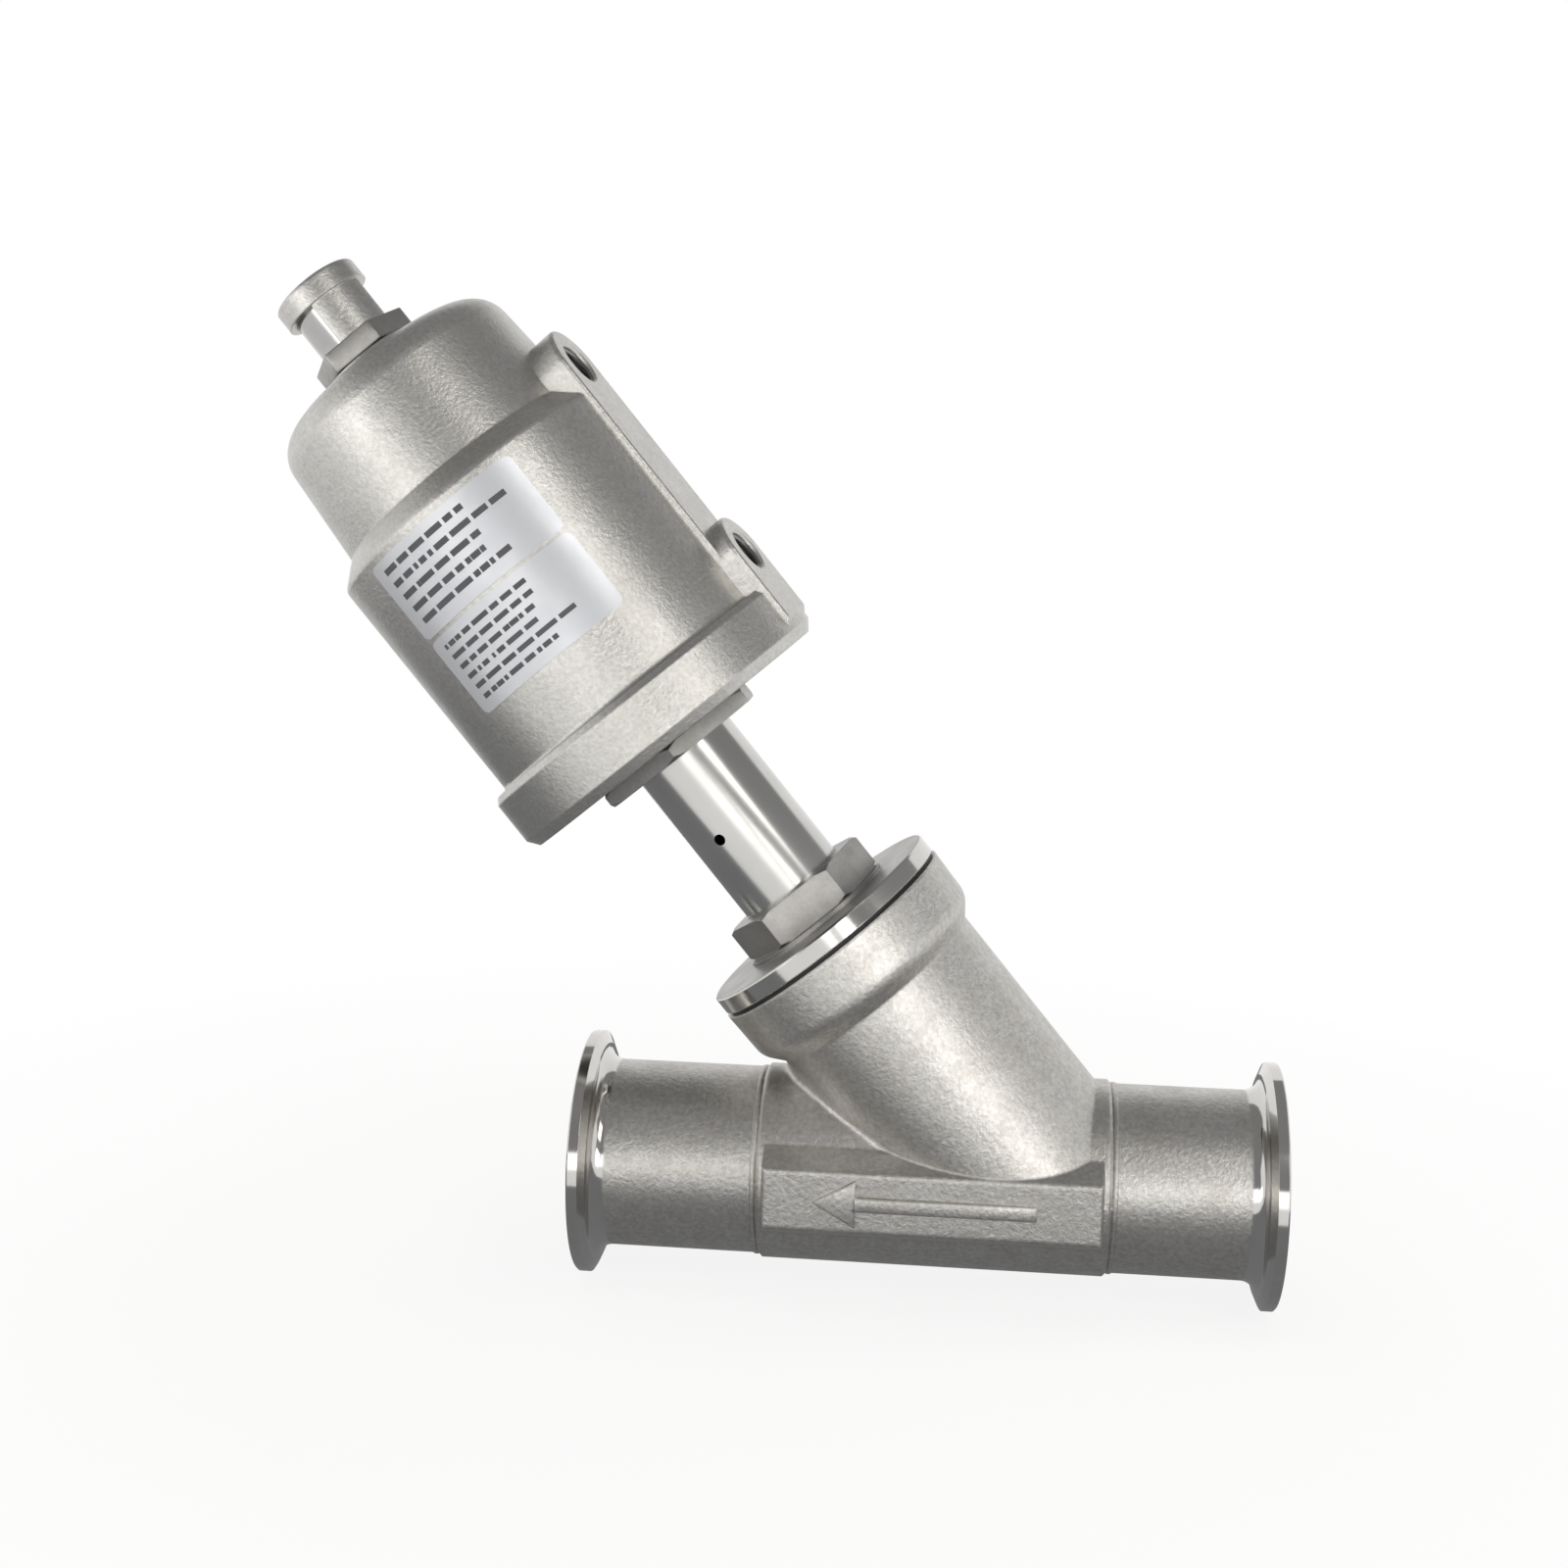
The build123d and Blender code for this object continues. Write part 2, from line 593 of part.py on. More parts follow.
def housing_inside():
    """Cavity: base seat with clip groove, piston cylinder, spring cap, crown bore."""
    cavity = turned([
        (0, HOUSING_BOTTOM - 1),
        (RIM_BORE_R, HOUSING_BOTTOM - 1),
        (RIM_BORE_R, CLIP_BOTTOM),
        (CLIP_GROOVE_R, CLIP_BOTTOM),
        (CLIP_GROOVE_R, CLIP_TOP),
        (RIM_BORE_R, CLIP_TOP),
        (RIM_BORE_R, RIM_LEDGE),
        (CYLINDER_BORE_R, RIM_LEDGE),
        (CYLINDER_BORE_R, BORE_TOP),
        (CAP_BORE_R, BORE_TOP + 5),
        (CAP_BORE_R, CAP_BORE_TOP - 3),
        (CAP_BORE_R - 1.2, CAP_BORE_TOP),
        (0, CAP_BORE_TOP),
    ])
    return cavity + rod(CROWN_BORE_R, CAP_BORE_TOP - 1, CROWN_TOP + 1)


def actuator_housing():
    """Cast actuator housing with port rib."""
    turn = Rot(0, 0, PORT_TURN)
    shell = housing_outside() + turn * port_rib()
    shell = shell - housing_inside()
    for hole in port_holes():
        shell = shell - turn * hole
    return LEAN * shell


def retaining_clip():
    """Open spring ring that holds the base plate in the housing."""
    clip = ring(CLIP_INNER_R, CLIP_GROOVE_R - SEAT_GAP, CLIP_BOTTOM, CLIP_TOP)
    gap = Rot(0, 0, 140) * Pos(CLIP_GROOVE_R - 3, 0, CLIP_BOTTOM + 0.5) * Box(10, 9, 6)
    return LEAN * (clip - gap)


def label(heights):
    """Thin name plate wrapped on the cylinder, corners rounded."""
    low, high = heights
    strip = Plane.XZ * Pos(LABEL_R + LABEL_THICK / 2, (low + high) / 2) * Rectangle(LABEL_THICK, high - low)
    plate = revolve(strip, Axis.Z, revolution_arc=LABEL_SWEEP)
    corners = [e for e in plate.edges() if e.length < LABEL_THICK * 1.5]
    plate = fillet(corners, LABEL_CORNER)
    return LEAN * Rot(0, 0, LABEL_START) * plate


# ---- moving stem, plug and piston

def stem():
    """Stem from plug to piston, reduced at both ends."""
    return LEAN * turned([
        (0, STEM_TIP),
        (STEM_END_R - 0.6, STEM_TIP),
        (STEM_END_R, STEM_TIP + 0.6),
        (STEM_END_R, PLUG_SHOULDER),
        (STEM_R, PLUG_SHOULDER),
        (STEM_R, PISTON_BOTTOM),
        (STEM_END_R, PISTON_BOTTOM),
        (STEM_END_R, STEM_TOP),
        (0, STEM_TOP),
    ])


def plug_disc():
    """Plug plate behind the seat seal."""
    bore = STEM_END_R + SEAT_GAP
    return LEAN * turned([
        (bore, SEAL_TOP),
        (PLUG_R, SEAL_TOP),
        (PLUG_R, PLUG_SHOULDER - 1),
        (PLUG_HUB_R + 2, PLUG_SHOULDER),
        (PLUG_HUB_R, PLUG_HUB_TOP),
        (STEM_R + SEAT_GAP, PLUG_HUB_TOP),
        (STEM_R + SEAT_GAP, PLUG_SHOULDER),
        (bore, PLUG_SHOULDER),
    ])


def plug_seal():
    """Seat seal disc."""
    return LEAN * ring(STEM_END_R + SEAT_GAP, PLUG_SEAL_R, SEAL_BOTTOM, SEAL_TOP)


def plug_washer():
    """Washer that clamps the seat seal."""
    bottom = SEAL_BOTTOM - PLUG_WASHER_THICK
    return LEAN * turned([
        (STEM_END_R + SEAT_GAP, bottom),
        (PLUG_WASHER_R - 1, bottom),
        (PLUG_WASHER_R, bottom + 1),
        (PLUG_WASHER_R, SEAL_BOTTOM),
        (STEM_END_R + SEAT_GAP, SEAL_BOTTOM),
    ])


def plug_nut():
    """Nut under the plug."""
    top = SEAL_BOTTOM - PLUG_WASHER_THICK
    nut = hexagon(PLUG_NUT_R, top - PLUG_NUT_HEIGHT, top)
    return LEAN * (nut - rod(STEM_END_R + SEAT_GAP, top - 10, top + 1))


def piston():
    """Piston with seal and band grooves and a cup for the springs."""
    bore = STEM_END_R + SEAT_GAP
    return LEAN * turned([
        (bore, PISTON_BOTTOM),
        (PISTON_R - 0.8, PISTON_BOTTOM),
        (PISTON_R, PISTON_BOTTOM + 0.8),
        (PISTON_R, PISTON_SEAL_BOTTOM),
        (PISTON_SEAL_ROOT, PISTON_SEAL_BOTTOM),
        (PISTON_SEAL_ROOT, PISTON_SEAL_BOTTOM + PISTON_SEAL_HEIGHT),
        (PISTON_R, PISTON_SEAL_BOTTOM + PISTON_SEAL_HEIGHT),
        (PISTON_R, BAND_BOTTOM),
        (BAND_ROOT, BAND_BOTTOM),
        (BAND_ROOT, BAND_BOTTOM + BAND_HEIGHT),
        (PISTON_R, BAND_BOTTOM + BAND_HEIGHT),
        (PISTON_R, PISTON_TOP),
        (PISTON_CUP_R + 0.6, PISTON_TOP),
        (PISTON_CUP_R, PISTON_FLOOR),
        (bore, PISTON_FLOOR),
    ])


def piston_seal():
    """Lip seal of the piston."""
    low = PISTON_SEAL_BOTTOM + 0.05
    high = PISTON_SEAL_BOTTOM + PISTON_SEAL_HEIGHT - 0.05
    inner = PISTON_SEAL_ROOT + SEAT_GAP
    outer = CYLINDER_BORE_R - SEAL_GAP
    middle = (inner + outer) / 2
    return LEAN * turned([
        (inner, low),
        (middle - 0.4, low),
        (middle, low + 1.4),
        (middle + 0.4, low),
        (outer, low),
        (outer, low + 0.8),
        (outer - 0.4, high),
        (inner, high),
    ])


def guide_band():
    """Guide band of the piston."""
    return LEAN * ring(BAND_ROOT + SEAT_GAP, CYLINDER_BORE_R - RUN, BAND_BOTTOM + 0.05, BAND_BOTTOM + BAND_HEIGHT - 0.05)


def piston_washer():
    """Washer under the piston nut."""
    return LEAN * ring(STEM_END_R + SEAT_GAP, PISTON_WASHER_R, PISTON_FLOOR, PISTON_FLOOR + PISTON_WASHER_THICK)


def piston_nut():
    """Nut that holds the piston on the stem."""
    low = PISTON_FLOOR + PISTON_WASHER_THICK
    nut = hexagon(PISTON_NUT_R, low, low + PISTON_NUT_HEIGHT)
    return LEAN * (nut - rod(STEM_END_R + SEAT_GAP, low - 1, low + PISTON_NUT_HEIGHT + 1))


def indicator_rod():
    """Rod that carries the stroke up to the indicator."""
    return LEAN * turned([
        (0, STEM_TOP),
        (ROD_FOOT_R, STEM_TOP),
        (ROD_FOOT_R, STEM_TOP + ROD_FOOT_HEIGHT),
        (ROD_R, STEM_TOP + ROD_FOOT_HEIGHT + 1),
        (ROD_R, SLEEVE_TOP - SLEEVE_CROWN),
        (0, SLEEVE_TOP - SLEEVE_CROWN),
    ])


def indicator_sleeve():
    """Bright sleeve that rises through the cover as the valve opens."""
    shell = rod(SLEEVE_R, SLEEVE_BOTTOM, SLEEVE_TOP)
    shell = fillet(circles_at(shell, SLEEVE_TOP, 7, 9), SLEEVE_ROUND)
    hollow = rod(SLEEVE_BORE_R, SLEEVE_BOTTOM - 1, SLEEVE_TOP - SLEEVE_CROWN - 6)
    return LEAN * (shell - hollow - rod(ROD_R + SEAT_GAP, SLEEVE_BOTTOM, SLEEVE_TOP - SLEEVE_CROWN))


# ---- springs

def outer_spring():
    """Large closing spring."""
    return LEAN * coil(OUTER_SPRING_R, OUTER_SPRING_WIRE, PISTON_FLOOR, CAP_BORE_TOP, OUTER_SPRING_TURNS)


def inner_spring():
    """Small closing spring."""
    return LEAN * coil(INNER_SPRING_R, INNER_SPRING_WIRE, PISTON_FLOOR, CAP_BORE_TOP, INNER_SPRING_TURNS)


# ---- indicator cover

def indicator_cover():
    """Guard with a hexagonal foot, two windows and a flat head the sleeve rises through."""
    piece = hexagon(COVER_NUT_R, COVER_NUT_BOTTOM, COVER_NUT_TOP, COVER_NUT_TURN)
    piece = piece + rod(COVER_WALL_R, COVER_NUT_TOP - 1, COVER_HEAD_BOTTOM + 1)
    head = rod(COVER_HEAD_R, COVER_HEAD_BOTTOM, COVER_HEAD_TOP)
    head = fillet(circles_at(head, COVER_HEAD_TOP, 9, 10), COVER_HEAD_ROUND)
    piece = piece + head + rod(CROWN_BORE_R - SEAT_GAP, CROWN_TOP - COVER_SPIGOT, COVER_NUT_BOTTOM + 1)
    strip = Plane.XZ * Pos(10, (COVER_NUT_TOP + COVER_HEAD_BOTTOM) / 2)
    strip = strip * Rectangle(8, COVER_HEAD_BOTTOM - COVER_NUT_TOP)
    window = revolve(strip, Axis.Z, revolution_arc=WINDOW_SWEEP)
    for turn in (WINDOW_START, WINDOW_START + 180):
        piece = piece - Rot(0, 0, turn) * window
    return LEAN * (piece - rod(SLEEVE_R + RUN, CROWN_TOP - COVER_SPIGOT - 1, COVER_HEAD_TOP + 1))


def cover_o_ring():
    """Flat seal under the indicator cover."""
    return LEAN * ring(CROWN_BORE_R + SEAT_GAP, CROWN_BORE_R + 0.7, CROWN_TOP, COVER_NUT_BOTTOM)


def pieces():
    """Every node of the valve with its solid."""
    built = {
        "valve_body": valve_body(),
        "body_gasket": body_gasket(),
        "bonnet": bonnet(),
        "neck_tube": neck_tube(),
        "packing_washer": packing_washer(),
        "gland_follower": gland_follower(),
        "packing_spring": packing_spring(),
        "guide_bush": guide_bush(),
        "base_plate": base_plate(),
        "base_o_ring": base_o_ring(),
        "base_bush": base_bush(),
        "stem_o_ring": stem_o_ring(),
        "actuator_housing": actuator_housing(),
        "retaining_clip": retaining_clip(),
        "upper_label": label(UPPER_LABEL),
        "lower_label": label(LOWER_LABEL),
        "stem": stem(),
        "plug_disc": plug_disc(),
        "plug_seal": plug_seal(),
        "plug_washer": plug_washer(),
        "plug_nut": plug_nut(),
        "piston": piston(),
        "piston_seal": piston_seal(),
        "guide_band": guide_band(),
        "piston_washer": piston_washer(),
        "piston_nut": piston_nut(),
        "indicator_rod": indicator_rod(),
        "indicator_sleeve": indicator_sleeve(),
        "outer_spring": outer_spring(),
        "inner_spring": inner_spring(),
        "indicator_cover": indicator_cover(),
        "cover_o_ring": cover_o_ring(),
    }
    for index in range(PACKING_RINGS):
        built[f"packing_ring_{index + 1}"] = packing_ring(index)
    return built


os.makedirs("parts", exist_ok=True)
for name, solid in pieces().items():
    export_step(TO_FRAME * solid, f"parts/{name}.step")
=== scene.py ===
"""Studio scene of a clamp-ferruled angle seat valve with a piston actuator.

Sizes of the object are millimetres, in names that end in _mm, and the studio's are metres. The
stem frame has its origin where the stem line crosses the pipe line, and its Z runs up the stem.
"""
import logging
import math
import random
from abc import ABC, abstractmethod
from collections.abc import Callable
from dataclasses import dataclass, field
from enum import Enum
from typing import Any

import bmesh
import bpy
from mathutils import Matrix, Vector


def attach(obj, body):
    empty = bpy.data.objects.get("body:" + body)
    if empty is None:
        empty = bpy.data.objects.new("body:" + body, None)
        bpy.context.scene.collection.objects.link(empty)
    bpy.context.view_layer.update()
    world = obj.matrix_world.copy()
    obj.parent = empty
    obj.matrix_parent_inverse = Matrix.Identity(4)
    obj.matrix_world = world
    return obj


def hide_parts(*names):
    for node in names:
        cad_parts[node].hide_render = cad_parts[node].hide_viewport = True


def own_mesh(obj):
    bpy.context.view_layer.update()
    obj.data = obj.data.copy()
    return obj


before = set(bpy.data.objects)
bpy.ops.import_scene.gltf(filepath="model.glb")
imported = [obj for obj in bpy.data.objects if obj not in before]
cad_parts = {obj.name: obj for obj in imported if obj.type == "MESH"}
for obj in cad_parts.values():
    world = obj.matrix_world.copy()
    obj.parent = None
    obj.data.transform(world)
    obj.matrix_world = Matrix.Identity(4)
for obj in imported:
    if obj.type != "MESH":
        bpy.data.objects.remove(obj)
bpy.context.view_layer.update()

LOG = logging.getLogger("angle_seat_valve")
MM = 0.001                  # one millimetre, metres
MERGE = 1e-6                # points nearer than this are one point, metres
FULL_TURN = 2 * math.pi
ORIGIN = (0, 0, 0)
UP = (0, 0, 1)
INLET_REACH = 51.4          # stem crossing to inlet face, mm
STEM_ANGLE = 50.0           # stem line above the pipe line, degrees
CROSSING = Vector((-INLET_REACH * MM, 0.0, 0.0))
STEM_FRAME = Matrix.Translation(CROSSING) @ Matrix.Rotation(math.radians(STEM_ANGLE - 90.0), 4, "Y")

MOTTLE_STOPS = (0.35, 0.65)     # noise values at which the two colours stand alone
MOTTLE_BAND = (0.3, 0.7)        # noise values between which the roughness changes
GRIT_BAND = (0.36, 0.64)        # noise values between which the speckle changes
GRIT_DENSITY = 0.8              # speckles per grain width
GRIT_LIFT = 0.4                 # how far speckle lightens, as a share of how far it darkens
COAT_ROUGHNESS = 0.12           # of the clear laminate
LAMP_WHITE = (1.0, 0.985, 0.955)    # daylight with a little warmth, linear

# What builds a surface in a node tree and gives its shader output.
Surface = Callable[[bpy.types.NodeTree], bpy.types.NodeSocket]


class Side(Enum):
    """Flank of the body, as the sign of its Y direction."""

    FRONT = -1
    BACK = 1


class Line(Enum):
    """Line along which a finish changes, as the axis that runs along it."""

    PIPE = "X"
    STEM = "Z"


class Grain(Enum):
    """How a surface was worked, as the stretch of its fine relief in the stem frame."""

    BLASTED = (1.0, 1.0, 1.0)
    TURNED = (0.02, 0.02, 1.0)
    BUFFED = (0.12, 0.12, 1.0)
    PLAIN = (0.0, 0.0, 0.0)


def linear(code: str) -> tuple[float, float, float, float]:
    """Turn an sRGB hex colour into linear values.

    Args:
        code: Colour as "#RRGGBB".

    Returns:
        Red, green and blue, linear, and an alpha of 1.
    """
    parts = [int(code[i:i + 2], 16) / 255.0 for i in (1, 3, 5)]
    r, g, b = (p / 12.92 if p <= 0.04045 else ((p + 0.055) / 1.055) ** 2.4 for p in parts)
    return (r, g, b, 1.0)


def moved(x_mm: float, y_mm: float, z_mm: float) -> Matrix:
    """Give a move by three distances in millimetres."""
    return Matrix.Translation((x_mm * MM, y_mm * MM, z_mm * MM))


def turned(degrees: float, axis: str) -> Matrix:
    """Give a turn by an angle in degrees about an axis named X, Y or Z."""
    return Matrix.Rotation(math.radians(degrees), 4, axis)


def add_node(tree: bpy.types.NodeTree, kind: str, values: dict[Any, Any] | None = None,
             **settings: Any) -> bpy.types.Node:
    """Add one shader node with its settings, socket values and links.

    Args:
        tree: Node tree to add to.
        kind: Node type name.
        values: Input name or index, to a constant or to an output socket that feeds it.
        **settings: Node properties.

    Returns:
        The new node.
    """
    node = tree.nodes.new(kind)
    for key, value in settings.items():
        setattr(node, key, value)
    for key, value in (values or {}).items():
        if isinstance(value, bpy.types.NodeSocket):
            tree.links.new(value, node.inputs[key])
        else:
            node.inputs[key].default_value = value
    return node


def new_material(name: str, surface: Surface) -> bpy.types.Material:
    """Make a material from what builds its surface.

    Args:
        name: Material name.
        surface: Builds the shader in a tree and gives its output.

    Returns:
        The material.
    """
    made = bpy.data.materials.new(name)
    made.use_nodes = True
    tree = made.node_tree
    tree.nodes.clear()
    add_node(tree, "ShaderNodeOutputMaterial", {"Surface": surface(tree)})
    return made


def showing_rays(tree: bpy.types.NodeTree) -> bpy.types.NodeSocket:
    """Tell the rays that show the white studio from those that light the object.

    Args:
        tree: Node tree to add to.

    Returns:
        An output that is 1 for camera, glossy and transmission rays and 0 for the rest.
    """
    rays = add_node(tree, "ShaderNodeLightPath").outputs
    mirror = add_node(tree, "ShaderNodeMath",
                      {0: rays["Is Glossy Ray"], 1: rays["Is Transmission Ray"]},
                      operation="MAXIMUM")
    both = add_node(tree, "ShaderNodeMath", {0: rays["Is Camera Ray"], 1: mirror.outputs[0]},
                    operation="MAXIMUM")
    return both.outputs[0]


def stem_coordinates(tree: bpy.types.NodeTree) -> bpy.types.NodeSocket:
    """Turn the row coordinates about the stem crossing.

    Args:
        tree: Node tree to add to.

    Returns:
        An output of coordinates whose Z runs up the stem line.
    """
    place = add_node(tree, "ShaderNodeTexCoord")
    upright = add_node(
        tree, "ShaderNodeVectorRotate",
        {"Vector": place.outputs["Object"], "Center": tuple(CROSSING),
         "Angle": math.radians(90.0 - STEM_ANGLE)},
        rotation_type="Y_AXIS",
    )
    return upright.outputs["Vector"]


@dataclass(frozen=True)
class Finish:
    """A real material with the surface it was given.

    Args:
        name: Material name in plain words.
        colour: Seen colour as sRGB hex.
        shade: Second colour of the slow mottling, as sRGB hex.
        metallic: 1 for metal, 0 otherwise.
        roughness: Low and high end of the roughness over the mottling.
        grain: How the surface was worked.
        grain_mm: Size of the fine relief.
        relief_mm: Depth of the fine relief.
        mottle_mm: Size of the slow mottling.
        coat: Clear coat weight.
        edge_mm: Radius to which sharp edges are broken.
        speckle: Depth of the fine light and dark speckle.
    """

    name: str
    colour: str
    shade: str
    metallic: float = 1.0
    roughness: tuple[float, float] = (0.3, 0.4)
    grain: Grain = Grain.PLAIN
    grain_mm: float = 0.5
    relief_mm: float = 0.01
    mottle_mm: float = 8.0
    coat: float = 0.0
    edge_mm: float = 0.0
    speckle: float = 0.0

    def grain_height(self, tree: bpy.types.NodeTree) -> bpy.types.NodeSocket:
        """Draw the height of the fine relief.

        Args:
            tree: Node tree of the material.

        Returns:
            The height output.
        """
        mapped = add_node(tree, "ShaderNodeMapping",
                          {"Vector": stem_coordinates(tree), "Scale": self.grain.value})
        noise = add_node(
            tree, "ShaderNodeTexNoise",
            {"Vector": mapped.outputs["Vector"], "Scale": 1.0 / (self.grain_mm * MM),
             "Detail": 4.0 if self.grain is Grain.BLASTED else 2.0, "Roughness": 0.6},
        )
        return noise.outputs["Fac"]

    def mix_colours(self, tree: bpy.types.NodeTree,
                    factor: bpy.types.NodeSocket) -> bpy.types.NodeSocket:
        """Mix the two colours of the mottling.

        Args:
            tree: Node tree of the material.
            factor: Noise output that drives the mix.

        Returns:
            The colour output.
        """
        ramp = add_node(tree, "ShaderNodeValToRGB", {"Fac": factor})
        for stop, position, colour in zip(ramp.color_ramp.elements, MOTTLE_STOPS,
                                          (self.colour, self.shade)):
            stop.position = position
            stop.color = linear(colour)
        return ramp.outputs["Color"]

    def speckled(self, tree: bpy.types.NodeTree, tint: bpy.types.NodeSocket,
                 place: bpy.types.NodeSocket) -> bpy.types.NodeSocket:
        """Lay the fine light and dark speckle over a colour.

        Args:
            tree: Node tree of the material.
            tint: Colour output under the speckle.
            place: Coordinates output.

        Returns:
            The speckled colour output.
        """
        grit = add_node(
            tree, "ShaderNodeTexNoise",
            {"Vector": place, "Scale": GRIT_DENSITY / (self.grain_mm * MM),
             "Detail": 2.0, "Roughness": 0.7},
        )
        level = add_node(
            tree, "ShaderNodeMapRange",
            {"Value": grit.outputs["Fac"], "From Min": GRIT_BAND[0], "From Max": GRIT_BAND[1],
             "To Min": 1.0 - self.speckle, "To Max": 1.0 + self.speckle * GRIT_LIFT},
        )
        return add_node(tree, "ShaderNodeVectorMath", {0: tint, 1: level.outputs["Result"]},
                        operation="MULTIPLY").outputs[0]

    def normal(self, tree: bpy.types.NodeTree) -> bpy.types.NodeSocket | None:
        """Break the sharp edges and add the fine relief.

        Args:
            tree: Node tree of the material.

        Returns:
            The normal output, or None where the surface has neither.
        """
        normal = None
        if self.edge_mm:
            normal = add_node(tree, "ShaderNodeBevel", {"Radius": self.edge_mm * MM},
                              samples=4).outputs["Normal"]
        if self.grain is not Grain.PLAIN:
            values: dict[Any, Any] = {"Height": self.grain_height(tree), "Strength": 1.0,
                                      "Distance": self.relief_mm * MM}
            if normal is not None:
                values["Normal"] = normal
            normal = add_node(tree, "ShaderNodeBump", values).outputs["Normal"]
        return normal

    def shader(self, tree: bpy.types.NodeTree) -> bpy.types.NodeSocket:
        """Build the surface shader in a tree.

        Args:
            tree: Node tree of the material.

        Returns:
            The shader output.
        """
        place = add_node(tree, "ShaderNodeTexCoord").outputs["Object"]
        mottle = add_node(
            tree, "ShaderNodeTexNoise",
            {"Vector": place, "Scale": 1.0 / (self.mottle_mm * MM), "Detail": 3.0,
             "Roughness": 0.55},
        ).outputs["Fac"]
        tint = self.mix_colours(tree, mottle)
        if self.speckle:
            tint = self.speckled(tree, tint, place)
        rough = add_node(
            tree, "ShaderNodeMapRange",
            {"Value": mottle, "From Min": MOTTLE_BAND[0], "From Max": MOTTLE_BAND[1],
             "To Min": self.roughness[0], "To Max": self.roughness[1]},
        )
        values: dict[Any, Any] = {
            "Base Color": tint,
            "Metallic": self.metallic,
            "Roughness": rough.outputs["Result"],
            "Coat Weight": self.coat,
            "Coat Roughness": COAT_ROUGHNESS,
        }
        normal = self.normal(tree)
        if normal is not None:
            values["Normal"] = normal
        return add_node(tree, "ShaderNodeBsdfPrincipled", values).outputs["BSDF"]

    def material(self) -> bpy.types.Material:
        """Build the Blender material."""
        return new_material(self.name, self.shader)


@dataclass(frozen=True)
class BandedFinish:
    """Two finishes on one piece, parted by distance along a line.

    Args:
        name: Material name.
        middle: Finish between the two limits.
        ends: Finish outside them.
        low_mm: Lower limit of the middle: X of the row frame, or height up the stem.
        high_mm: Upper limit of the middle.
        line: Line the limits lie on.
        blend_mm: Width of the change.
    """

    name: str
    middle: Finish
    ends: Finish
    low_mm: float
    high_mm: float
    line: Line = Line.PIPE
    blend_mm: float = 0.6

    def shader(self, tree: bpy.types.NodeTree) -> bpy.types.NodeSocket:
        """Build the mixed surface shader in a tree.

        Args:
            tree: Node tree of the material.

        Returns:
            The shader output.
        """
        if self.line is Line.STEM:
            place = stem_coordinates(tree)
        else:
            place = add_node(tree, "ShaderNodeTexCoord").outputs["Object"]
        along = add_node(tree, "ShaderNodeSeparateXYZ", {"Vector": place}).outputs[self.line.value]
        centre = (self.low_mm + self.high_mm) / 2 * MM
        half = (self.high_mm - self.low_mm) / 2 * MM
        offset = add_node(tree, "ShaderNodeMath", {0: along, 1: centre}, operation="SUBTRACT")
        away = add_node(tree, "ShaderNodeMath", {0: offset.outputs[0]}, operation="ABSOLUTE")
        mask = add_node(
            tree, "ShaderNodeMapRange",
            {"Value": away.outputs[0], "From Min": half, "From Max": half + self.blend_mm * MM},
        )
        mixed = add_node(
            tree, "ShaderNodeMixShader",
            {0: mask.outputs["Result"], 1: self.middle.shader(tree), 2: self.ends.shader(tree)},
        )
        return mixed.outputs[0]

    def material(self) -> bpy.types.Material:
        """Build the Blender material."""
        return new_material(self.name, self.shader)


# The marks of blasting and milling are 0.1 to 0.3 mm across on the real surfaces. They are drawn
# two to five times as coarse here, and deeper, because at their own size they wouldn't show.

# Investment-cast stainless, bead-blasted: neutral silver grey, broad highlights, even sparkle.
CAST_STEEL = Finish("cast stainless, bead blasted", "#CCCAC6", "#C5C2BD", roughness=(0.37, 0.43),
                    grain=Grain.BLASTED, grain_mm=0.85, relief_mm=0.12, mottle_mm=6.0,
                    edge_mm=0.9, speckle=0.15)
# The same casting with a finer blast: the highlight runs along it in clean bands.
HOUSING_STEEL = Finish("cast stainless, finely blasted", "#CDCBC7", "#C8C6C1",
                       roughness=(0.34, 0.40), grain=Grain.BLASTED, grain_mm=0.75, relief_mm=0.09,
                       mottle_mm=8.0, edge_mm=0.5, speckle=0.12)
# Drawn stainless, mirror polished: clean reflections with hard light and dark streaks.
POLISHED_STEEL = Finish("stainless, mirror polished", "#CFCECB", "#C9C8C5", roughness=(0.17, 0.2),
                        grain=Grain.BUFFED, grain_mm=0.6, relief_mm=0.0005, mottle_mm=14.0)
# Ground stainless sleeve: a close satin shine, darker than the polished tube.
GROUND_STEEL = Finish("stainless, ground", "#B4B3B1", "#A9A8A6", roughness=(0.12, 0.18),
                      grain=Grain.TURNED, grain_mm=0.5, relief_mm=0.002)
# Bar stainless, milled flats: satin, slightly darker, faint tool marks.
MILLED_STEEL = Finish("stainless, milled flats", "#AFADAA", "#A5A3A0", roughness=(0.34, 0.42),
                      grain=Grain.BLASTED, grain_mm=0.6, relief_mm=0.012, mottle_mm=5.0,
                      edge_mm=0.35, speckle=0.06)
# Stainless turned and buffed: bright, nearly a mirror, with a soft blur.
FERRULE_STEEL = Finish("stainless, turned and buffed", "#D2D0CD", "#CBC9C5",
                       roughness=(0.08, 0.13), grain=Grain.BUFFED, grain_mm=0.5, relief_mm=0.003,
                       mottle_mm=9.0, edge_mm=0.2)
# Nitrile rubber: near black, dull.
RUBBER = Finish("black nitrile rubber", "#1E1E20", "#28282A", metallic=0.0, roughness=(0.5, 0.65))
# Filled fluoropolymer, turned: off white, waxy.
WHITE_SEAL = Finish("white fluoropolymer, turned", "#E4E1D9", "#DBD7CE", metallic=0.0,
                    roughness=(0.4, 0.5), grain=Grain.TURNED, grain_mm=0.4, relief_mm=0.004)
